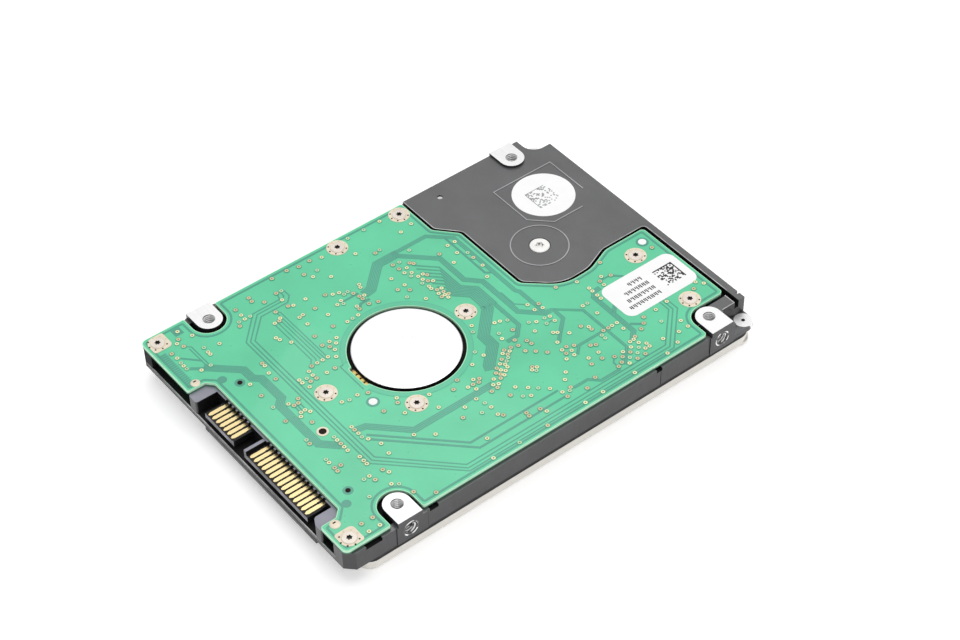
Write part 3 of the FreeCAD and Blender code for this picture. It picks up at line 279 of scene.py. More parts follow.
GREEN = (0.105, 0.60, 0.335)
DARK_GREEN = (0.066, 0.335, 0.235)
BAND_GREEN = (0.088, 0.49, 0.30)
RING_GREEN = (0.092, 0.53, 0.31)
EDGE_GREEN = (0.42, 0.86, 0.56)
PAINT = (0.067, 0.068, 0.071)
WHITE_METAL = (0.88, 0.88, 0.88)

L = {
    "paint": coat_paint("casting_electrocoat", PAINT),
    # A light grey for the tops of the deck's ridges and for thin lines on the front: painted
    # highlight.
    "ridge": coat_paint("casting_ridge_painted_highlight", (0.33, 0.33, 0.34)),
    # A darker copy of the casting paint for its steep faces: painted shade.
    "wall": coat_paint("casting_side_painted_shade", (0.020, 0.0195, 0.023), 0.45, 0.4),
    # Dark metal for the threaded holes: painted shade.
    "bore": brushed("bore_painted_shade", (0.12, 0.12, 0.12), 0.4, "Z", 0.01, 0.15, 0.8),
    # Bright and dark patches for the hole mouths: rubbed coat, painted glints and painted shade.
    "mouth": patchy("hole_mouth_wear_and_painted_glints", 0.1, 0.95),
    "solder": plain("motor_solder", (0.95, 0.66, 0.2), 0.35, 0.0, 0.0, 3.0, 0.02, 0.12),
    # A mid grey for thin painted highlights along the casting's edges.
    "edge_highlight": plain("edge_painted_highlight", (0.5, 0.5, 0.5), 0.42, 0.2, 0.0, 3.0, 0.02, 0.45),
    "well": plain("casting_shaded", (0.006, 0.006, 0.006), 0.7, 0.0, 0.0, 2.0, 0.01, 0.25, 0.2),
    "machined": brushed("casting_machined", WHITE_METAL, 0.38, "X", 0.006, 0.04, 0.6),
    "cover": brushed("cover_stainless", (0.7, 0.68, 0.64), 0.32, "Y", 0.006),
    "mask": solder_mask("board_solder_mask", GREEN),
    "laminate": laminate("board_laminate_with_painted_highlight"),
    "trace": solder_mask("board_trace", DARK_GREEN, 0.006),
    "band": solder_mask("board_trace_field", BAND_GREEN, 0.006),
    "ring": solder_mask("board_ring_field", RING_GREEN, 0.006),
    "bare": solder_mask("board_bare_edge", EDGE_GREEN, 0.01),
    "pad": plain("board_tinned_pad", (0.80, 0.70, 0.55), 0.42, 0.15, 0.0, 3.0, 0.02, 0.07),
    "via": plain("via_tinned", (0.82, 0.85, 0.50), 0.4, 0.1, 0.0, 3.0, 0.01, 0.1),
    "via_pink": plain("via_copper_tint", (0.66, 0.60, 0.36), 0.4, 0.1, 0.0, 3.0, 0.01, 0.1),
    "via_tented": plain("via_tented", (0.46, 0.76, 0.46), 0.35, 0.0, 0.2, 3.0, 0.01, 0.1),
    # Near black for the openings of holes: painted shade.
    "hole": plain("drilled_hole_painted_shade", (0.014, 0.006, 0.004), 0.7, 0.0, 0.0, 3.0, 0.01, 0.3, 0.2),
    "via_hole": plain("via_mouth", (0.30, 0.19, 0.08), 0.6, 0.0, 0.0, 3.0, 0.01, 0.3),
    "screw": plain("screw_plating", (0.76, 0.69, 0.61), 0.4, 0.5, 0.0, 2.5, 0.012, 0.08),
    "bright_screw": plain("screw_bright", (0.9, 0.89, 0.87), 0.35, 0.5, 0.0, 2.5, 0.012, 0.05),
    # Dark metal for the screws' drive sockets: painted shade.
    "socket": plain("screw_socket_painted_shade", (0.1, 0.095, 0.095), 0.4, 0.5, 0.0, 2.5, 0.012, 0.2),
    "gold": brushed("contact_gold", (0.82, 0.66, 0.34), 0.3, "Y", 0.004, 0.07),
    # A lighter grey copy of the black connector plastic for its top faces: painted light.
    "plastic_top": plain("connector_top_painted_light", (0.27, 0.27, 0.32), 0.42, 0.0, 0.0, 4.0, 0.01, 0.08),
    "plastic": plain("connector_plastic", (0.007, 0.007, 0.008), 0.4, 0.0, 0.0, 4.0, 0.01, 0.2, 0.3),
    # A grey copy of the black connector plastic for the tongues' front ends: painted light.
    "plastic_edge": plain("connector_tongue_edge_painted_light", (0.17, 0.17, 0.19), 0.5, 0.0, 0.0, 6.0, 0.03, 0.6),
    "film": plain("insulating_film", (0.012, 0.012, 0.014), 0.5, 0.0, 0.0, 2.0, 0.01, 0.25),
    "chip": plain("chip_mould", (0.02, 0.02, 0.022), 0.55, 0.0, 0.0, 8.0, 0.012, 0.25),
    "can": brushed("can_steel", (0.7, 0.7, 0.7), 0.3, "X"),
    "ferrite": plain("ferrite", (0.06, 0.06, 0.065), 0.5, 0.0, 0.0, 5.0, 0.03, 0.25),
    "ceramic": plain("capacitor_ceramic", (0.42, 0.29, 0.18), 0.45, 0.0, 0.0, 5.0, 0.02, 0.15),
    "paper": plain("label_paper", (0.93, 0.93, 0.93), 0.55, 0.0, 0.0, 5.0, 0.006, 0.02),
    "ink": plain("label_ink", (0.03, 0.03, 0.035), 0.6, 0.0, 0.0, 9.0, 0.01, 0.3),
    "pale_ink": plain("faded_ink", (0.36, 0.38, 0.37), 0.6, 0.0, 0.0, 9.0, 0.01, 0.3),
    "rubber": plain("gasket_rubber", (0.012, 0.012, 0.012), 0.75, 0.0, 0.0, 3.0, 0.03, 0.3),
    "motor": turned("motor_face_turned", WHITE_METAL, SPINDLE, 0.36, 0.10),
    "steel": turned("hub_turned", (0.68, 0.68, 0.69), SPINDLE, 0.25, 0.08),
    "pivot": turned("pivot_turned", (0.68, 0.68, 0.69), PIVOT, 0.25, 0.08),
    "brass": turned("bearing_bronze", (0.72, 0.52, 0.25), SPINDLE, 0.3, 0.08),
    "core": brushed("core_laminations", (0.32, 0.32, 0.33), 0.45, "Z", 0.02, 0.2),
    "copper": brushed("enamelled_winding", (0.72, 0.32, 0.13), 0.3, "Z", 0.03, 0.2),
    "magnet": plain("bonded_magnet", (0.09, 0.09, 0.1), 0.5, 0.2, 0.0, 4.0, 0.02, 0.2),
    "platter": turned("platter_mirror", (0.86, 0.87, 0.89), SPINDLE, 0.08, 0.4, 0.0004, 0.01),
    "flex": plain("polyimide_film", (0.42, 0.2, 0.04), 0.35, 0.0, 0.3, 2.0, 0.008, 0.12),
    "arm": brushed("arm_machined", (0.78, 0.78, 0.79), 0.3, "X"),
    "holder": plain("holder_plastic", (0.05, 0.05, 0.052), 0.5, 0.0, 0.0, 3.0, 0.02, 0.2),
    "nickel": brushed("yoke_nickel", (0.66, 0.65, 0.61), 0.22, "X", 0.003),
    "ramp": plain("ramp_polymer", (0.8, 0.78, 0.7), 0.4, 0.0, 0.0, 2.0, 0.008, 0.06),
    "stop": plain("stop_rubber", (0.03, 0.03, 0.03), 0.7, 0.0, 0.0, 4.0, 0.02, 0.2),
    "felt": plain("filter_felt", (0.8, 0.8, 0.76), 0.95, 0.0, 0.0, 8.0, 0.12, 0.1, 0.2),
}

NODE_LOOKS = {
    "paint": ["base_casting"], "cover": ["top_cover"], "rubber": ["cover_gasket"],
    "paper": ["top_label", "board_label", "round_label"], "mask": ["circuit_board"],
    "screw": ["cover_screws", "board_screws", "ramp_screw", "clamp_screw"],
    "bright_screw": ["pivot_screw"],
    "film": ["insulator_sheet"],
    "chip": ["controller_chip", "memory_chip", "motor_driver_chip", "flash_chip", "shock_sensors",
             "sliders", "preamp_chip"],
    "can": ["crystal", "disk_clamp", "suspensions"], "ferrite": ["power_inductors"],
    "ceramic": ["capacitors"], "plastic": ["sata_housing"],
    "gold": ["signal_contacts", "power_contacts", "motor_contacts"],
    "motor": ["motor_base", "bearing_cap"], "brass": ["bearing_sleeve"], "core": ["stator_core"],
    "copper": ["stator_coils", "voice_coil"],
    "steel": ["rotor_hub", "spindle_shaft", "latch_pin", "disk_spacer"],
    "magnet": ["rotor_magnet"], "platter": ["lower_platter", "upper_platter"],
    "flex": ["motor_flex", "flex_cable"], "arm": ["actuator_block"],
    "pivot": ["pivot_sleeve", "pivot_bearings", "pivot_shaft"],
    "holder": ["coil_holder", "latch_lever", "head_connector"],
    "nickel": ["lower_yoke", "upper_yoke", "lower_magnet", "upper_magnet", "yoke_posts"],
    "ramp": ["load_ramp"], "stop": ["crash_stops"],
    "felt": ["recirculation_filter", "breather_filter"],
}
for look, names in NODE_LOOKS.items():
    for name in names:
        slots = NODES[name].data.materials
        slots.clear()
        slots.append(L[look])


def repaint(node, look, wanted):
    """Gives the faces of a CAD node that pass a test another material."""
    mesh = NODES[node].data
    mesh.materials.append(L[look])
    last = len(mesh.materials) - 1
    for face in mesh.polygons:
        if wanted(face.center / MM, face.normal):
            face.material_index = last


def near(point, places, reach):
    """Whether a point stands over one of the places, within that reach."""
    return any(math.hypot(point.x - x, point.y - y) < reach for x, y in places)


def bare_metal(point, normal):
    """The machined parts of the casting: boss tops, hole walls and rear lugs."""
    x, y, z = point
    half_width = 2.9
    for bx, by in BOSSES:
        beside = abs(y - by) < half_width and abs(x) > abs(bx) - half_width
        if beside and normal.z > 0.5 and z > 9.3:
            return True
    return near(point, REAR_LUGS, 2.0) and z > 4.2


def bore(point, normal):
    """The walls and floors of the threaded holes, painted dark as shade."""
    x, y, z = point
    reach = 1.4
    for bx, by in BOSSES:
        if math.hypot(x - bx, y - by) < reach and 6.3 < z < 9.45:
            return True
        beside = 32.1 < abs(x) < 34.9 and x * bx > 0
        if beside and math.hypot(y - by, z - SIDE_HOLE_Z) < reach:
            return True
    return near(point, REAR_LUGS, 0.84)


def wall_notch(point, normal):
    """The small notches in the top edge of the side walls, painted near black as shade."""
    rows = any(first < point.y < last for first, last in WALL_NOTCHES)
    return rows and abs(point.x) > 33 and 7.5 < point.z < 8.5


def dark_corner(point, normal):
    """The front left corner post, which the board shades."""
    x, y, z = point
    return x < -30.2 and y < -48.9 and z > 4.4 and normal.z < 0.5


def under_board(point, normal):
    """The floor and walls of the well, which the board keeps dark."""
    x, y, z = point
    rear_pocket = y > 43 and (x > 30.7 or x < -29)
    if -50.0 < y < -43.7:
        return abs(x) < 30.5 and 4.9 < z < 8.35
    return abs(x) < 33.5 and -43.7 < y < 48.7 and 6.9 < z < 8.85 and not rear_pocket


def steep(point, normal):
    return abs(normal.z) < 0.5


def front_skirt(point, normal):
    """The low strip across the front, painted near black as shade."""
    return normal.y < -0.9 and point.y < -50 and point.z < 5 and abs(point.x) < 27


def tongue_front(point, normal):
    """The front ends of the connector's two tongues, grey over the black plastic as painted light."""
    return normal.y < -0.9 and -50 < point.y < -49.6 and point.z > 6.1


def socket_floor(point, normal):
    """The drive sockets of the board screws, walls and floor, painted dark as shade."""
    return near(point, BOARD_SCREWS, 0.75) and point.z < 9.49


# Later looks go over earlier ones.
# Steep faces of the casting take the darker copy of its paint, as painted shade.
repaint("base_casting", "wall", steep)
# The casting's front strip takes the near-black plastic, as painted shade.
repaint("base_casting", "plastic", front_skirt)
repaint("base_casting", "well", under_board)
# The tops of the low ridges on the deck, lighter as painted highlight.
repaint("base_casting", "ridge", lambda p, n: n.z > 0.5 and 8.93 < p.z < 9.1)
repaint("base_casting", "well", dark_corner)
repaint("base_casting", "machined", bare_metal)
repaint("base_casting", "bore", bore)
repaint("base_casting", "well", wall_notch)
# The board's sawn edges, their tops brightened as painted highlight.
repaint("circuit_board", "laminate", steep)
repaint("motor_base", "well", lambda p, n: n.z < 0.5 or p.z < 9.0)
# The connector body's top faces, lighter than its black plastic as painted light.
repaint("sata_housing", "plastic_top", lambda p, n: n.z > 0.7 and p.z > 7.9)
repaint("sata_housing", "plastic_edge", tongue_front)
repaint("sata_housing", "wall", lambda p, n: abs(n.z) < 0.5 and p.y < -49.9)
repaint("board_screws", "socket", socket_floor)
# The pivot screw's socket walls, painted dark as shade too.
repaint("pivot_screw", "socket", lambda p, n: near(p, [PIVOT], 0.75) and n.z < 0.5)


# ------------------------------------------------------------------ mesh pieces

# Tracks that cross would flicker if their tops lay in one plane.
LAYER_STEP = 0.0003


def circles(x, y, rings, sides, squash=1.0):
    """Loops about an upright axis, one for each (radius, z), narrowed along y by squash."""
    turns = [math.tau * i / sides for i in range(sides)]
    return [[(x + r * math.cos(turn), y + squash * r * math.sin(turn), z) for turn in turns]
            for r, z in rings]


class Piece:
    """Relief on the board or casting, gathered in one mesh."""

    def __init__(self, name, *looks):
        self.name = name
        self.looks = looks
        self.mesh = bmesh.new()
        self.layers = 0

    def loft(self, loops, look=0, cap=True):
        """Joins loops of equal length of (x, y, z), and closes the last one."""
        rows = [[self.mesh.verts.new([c * MM for c in p]) for p in loop] for loop in loops]
        faces = []
        for low, high in zip(rows, rows[1:]):
            count = len(low)
            for i in range(count):
                faces.append((low[i], low[(i + 1) % count], high[(i + 1) % count], high[i]))
        if cap:
            faces.append(rows[-1])
        for corners in faces:
            self.mesh.faces.new(corners).material_index = look

    def disc(self, x, y, low, high, radius, look=0, sides=20, bevel=0.0, bore=0.0):
        """A round pad, or a ring when it has a bore."""
        rings = [(radius, low), (radius, high - bevel), (radius - bevel, high)]
        if bore:
            rings += [(bore, high), (bore - 0.3 * bevel, low)]
        self.loft(circles(x, y, rings, sides), look, not bore)

    def slab(self, corners, low, high, look=0):
        self.loft([[(x, y, low) for x, y in corners], [(x, y, high) for x, y in corners]], look)

    def box(self, x0, y0, x1, y1, low, high, look=0):
        self.slab([(x0, y0), (x1, y0), (x1, y1), (x0, y1)], low, high, look)

    def ribbon(self, path, width, low, high, look=0, closed=False, shift=0.0):
        """A track along a path of (x, y), its edge lines mitred, each a hair above the last."""
        self.layers += 1
        high += LAYER_STEP * self.layers
        left, right = (offset(path, shift + side * width / 2, closed) for side in (1, -1))
        count = len(path)
        rows = []
        for i in range(count):
            (lx, ly), (rx, ry) = left[i], right[i]
            rows.append([self.mesh.verts.new((x * MM, y * MM, z * MM)) for x, y, z in
                         ((rx, ry, low), (rx, ry, high), (lx, ly, high), (lx, ly, low))])
        for i in range(count if closed else count - 1):
            a, b = rows[i], rows[(i + 1) % count]
            for j in range(3):
                self.mesh.faces.new((a[j], b[j], b[j + 1], a[j + 1])).material_index = look
        if not closed:
            for row in (rows[0], rows[-1]):
                self.mesh.faces.new(row).material_index = look

    def done(self, body="enclosure", smooth=False):
        """Makes the object, which rides on its body."""
        bmesh.ops.recalc_face_normals(self.mesh, faces=self.mesh.faces)
        data = bpy.data.meshes.new(self.name)
        self.mesh.to_mesh(data)
        self.mesh.free()
        for look in self.looks:
            data.materials.append(L[look])
        if smooth:
            data.shade_smooth()
        made = bpy.data.objects.new(self.name, data)
        bpy.context.scene.collection.objects.link(made)
        if body:
            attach(made, body)
        return made


def offset(path, distance, closed=False):
    """A path moved sideways, to its left for a positive distance."""
    points = [Vector(p) for p in path]
    count = len(points)
    moved = []
    for i, point in enumerate(points):
        before = points[i - 1] if i or closed else None
        after = points[(i + 1) % count] if i < count - 1 or closed else None
        sides = []
        for start, end in ((before, point), (point, after)):
            if start is not None and end is not None:
                run = (end - start).normalized()
                sides.append(Vector((-run.y, run.x)))
        if len(sides) == 2:
            middle = (sides[0] + sides[1]).normalized()
            reach = distance / max(0.35, middle.dot(sides[0]))
            moved.append(tuple(point + middle * reach))
        else:
            moved.append(tuple(point + sides[0] * distance))
    return moved


def softened(points, steps=8):
    """A closed path through corners given as (x, y, radius)."""
    path = []
    for i, (x, y, radius) in enumerate(points):
        here = Vector((x, y))
        if not radius:
            path.append((x, y))
            continue
        back = (Vector(points[i - 1][:2]) - here).normalized()
        ahead = (Vector(points[(i + 1) % len(points)][:2]) - here).normalized()
        half = back.angle(ahead) / 2
        centre = here + (back + ahead).normalized() * (radius / math.sin(half))
        start = (here + back * (radius / math.tan(half)) - centre).normalized()
        finish = (here + ahead * (radius / math.tan(half)) - centre).normalized()
        for step in range(steps + 1):
            path.append(tuple(centre + start.slerp(finish, step / steps) * radius))
    return path


# A track that follows the board's edge, 0.85 mm inside it: (x, y, corner radius).
EDGE_LINE = [
    (-33.3, -49.25, 0.4), (-17.85, -49.25, 0.3), (-17.85, -45.95, 0.5), (-16.1, -44.05, 0.6),
    (24.9, -44.05, 0.6), (27.15, -46.25, 0.5), (27.15, -49.25, 0.3), (33.3, -49.25, 0.4),
    (33.3, -40.75, 0.3), (26.45, -40.75, 4.3), (26.45, -31.75, 4.3), (33.3, -31.75, 0.4),
    (33.3, 36.25, 0.4), (26.5, 36.25, 4.0), (26.5, 46.65, 0.4), (3.85, 46.65, 0.4),
    (3.85, 37.6, 3.5), (6.25, 31.8, 6.5), (6.45, 24.3, 7.5), (-0.05, 17.15, 1.8),
    (-19.05, 17.15, 1.2), (-23.55, 13.15, 1.2), (-33.3, 13.15, 0.3), (-33.3, -31.75, 0.3),
    (-26.45, -31.75, 4.3), (-26.45, -40.75, 4.3), (-33.3, -40.75, 0.3),
]


# Tracks that run alone: (width, path).
LINES = [
    (0.28, [(21.4, 37.45), (25.0, 37.45), (32.75, 29.6), (32.75, -20.7), (19.6, -33.95),
            (-21.0, -33.95), (-26.8, -28.4), (-26.8, -22.0), (-28.2, -21.5)]),
    (0.28, [(21.4, 36.6), (24.6, 36.6), (32.0, 29.2), (32.0, -20.5), (19.2, -33.2),
            (-20.6, -33.2), (-26.05, -27.9), (-26.05, -21.9), (-27.1, -20.75), (-28.4, -20.75)]),
    (0.28, [(21.4, 35.85), (24.2, 35.85), (31.15, 28.8), (31.15, -20.2), (18.8, -32.35),
            (-20.3, -32.35), (-25.1, -27.6), (-25.1, -21.2), (-26.5, -19.85), (-28.4, -19.85)]),
    (0.22, [(-24.2, -24.5), (-23.7, -23.95), (-7.8, -23.95)]),
    (0.22, [(-23.9, -24.6), (-7.8, -24.55)]),
    (0.22, [(-21.9, -25.25), (-7.8, -25.25)]),
    (0.22, [(-21.7, -26.0), (-8.8, -26.0), (-7.8, -26.5)]),
    (0.22, [(-21.5, -26.8), (-9.2, -26.8), (-7.8, -27.9)]),
    (0.25, [(-27.7, -43.9), (-26.8, -42.9), (-20.6, -42.85)]),
    (0.25, [(-26.6, -43.5), (-20.4, -43.4)]),
    (0.45, [(-25.5, -46.3), (-22.3, -43.3)]),
    (0.3, [(-1.2, -35.2), (1.0, -35.2)]),
    (0.3, [(-1.2, -35.9), (1.0, -35.9)]),
    (0.3, [(-1.2, -36.5), (1.0, -36.5)]),
    (0.5, [(-20.2, 14.4), (-7.0, 14.4), (-6.2, 15.4)]),
    (0.3, [(-0.5, 13.25), (3.7, 13.25), (5.2, 14.8)]),
    (0.5, [(27.3, 4.9), (27.3, -16.3), (13.4, -30.2)]),
    (0.5, [(29.4, 4.9), (29.4, -15.7), (14.7, -30.4)]),
    (0.3, [(27.5, 18.9), (28.4, 17.9), (29.6, 17.9)]),
    (0.3, [(27.7, 20.9), (29.3, 19.4)]),
    (0.3, [(12.0, 16.2), (12.0, 14.9)]),
    (0.6, [(22.4, 27.3), (24.0, 29.2)]),
    (0.6, [(9.6, 33.3), (11.4, 35.2)]),
    (0.4, [(9.5, 33.2), (9.4, 30.7)]),
    (0.5, [(-18.3, -8.8), (-18.3, -12.6)]),
    (0.6, [(-15.6, -8.0), (-15.6, -10.2), (-14.7, -11.1)]),
    (0.25, [(-4.1, -22.9), (-4.1, -23.6), (3.6, -23.6)]),
]

# Tracks that run side by side: (number, overall width, path of the middle).
BUNDLES = [
    (6, 1.85, [(-20.6, -44.2), (-15.2, -38.5), (-12.3, -38.45), (-11.1, -37.15), (-4.45, -37.1),
               (-3.1, -38.5), (9.6, -38.5), (12.7, -35.4)]),
    (3, 0.8, [(-22.0, -46.4), (-20.1, -44.0)]),
    (4, 1.6, [(18.15, -3.6), (18.15, -22.5), (11.6, -29.0), (11.2, -30.8)]),
    (3, 1.05, [(-23.1, 3.0), (-23.1, 11.7), (-19.1, 15.85), (0.9, 15.85), (1.6, 16.35), (9.0, 16.4)]),
    (4, 1.3, [(-22.4, 3.4), (-16.0, 9.9), (-8.1, 9.9), (-5.3, 12.5), (5.8, 12.5), (9.6, 16.3),
              (9.6, 17.6)]),
    (7, 2.3, [(-22.6, 4.3), (-22.6, -0.9), (-17.6, -6.2), (-17.3, -8.2)]),
    (3, 1.0, [(1.0, 10.3), (8.8, 10.3), (11.0, 8.1), (11.0, 5.6)]),
    (8, 2.5, [(0.4, 8.6), (1.4, 8.4), (6.9, 3.0), (9.9, 2.9), (13.8, -1.1), (15.0, -1.6)]),
    (2, 0.7, [(9.3, 17.7), (13.7, 22.7), (26.7, 22.7), (30.2, 19.4)]),
    (4, 1.2, [(10.9, 29.4), (11.0, 27.9), (12.2, 26.7), (24.3, 26.6), (26.1, 24.7)]),
    (3, 0.9, [(16.4, 28.6), (18.0, 27.0)]),
    (3, 0.9, [(9.8, 18.25), (12.9, 18.2), (15.9, 14.9), (17.5, 13.3)]),
    (2, 0.7, [(20.6, 21.8), (20.6, 15.8), (22.3, 14.0)]),
    (2, 0.7, [(30.5, 17.8), (30.5, 13.0), (28.7, 11.2), (28.65, 7.7)]),
]
FAN_LINES = 8

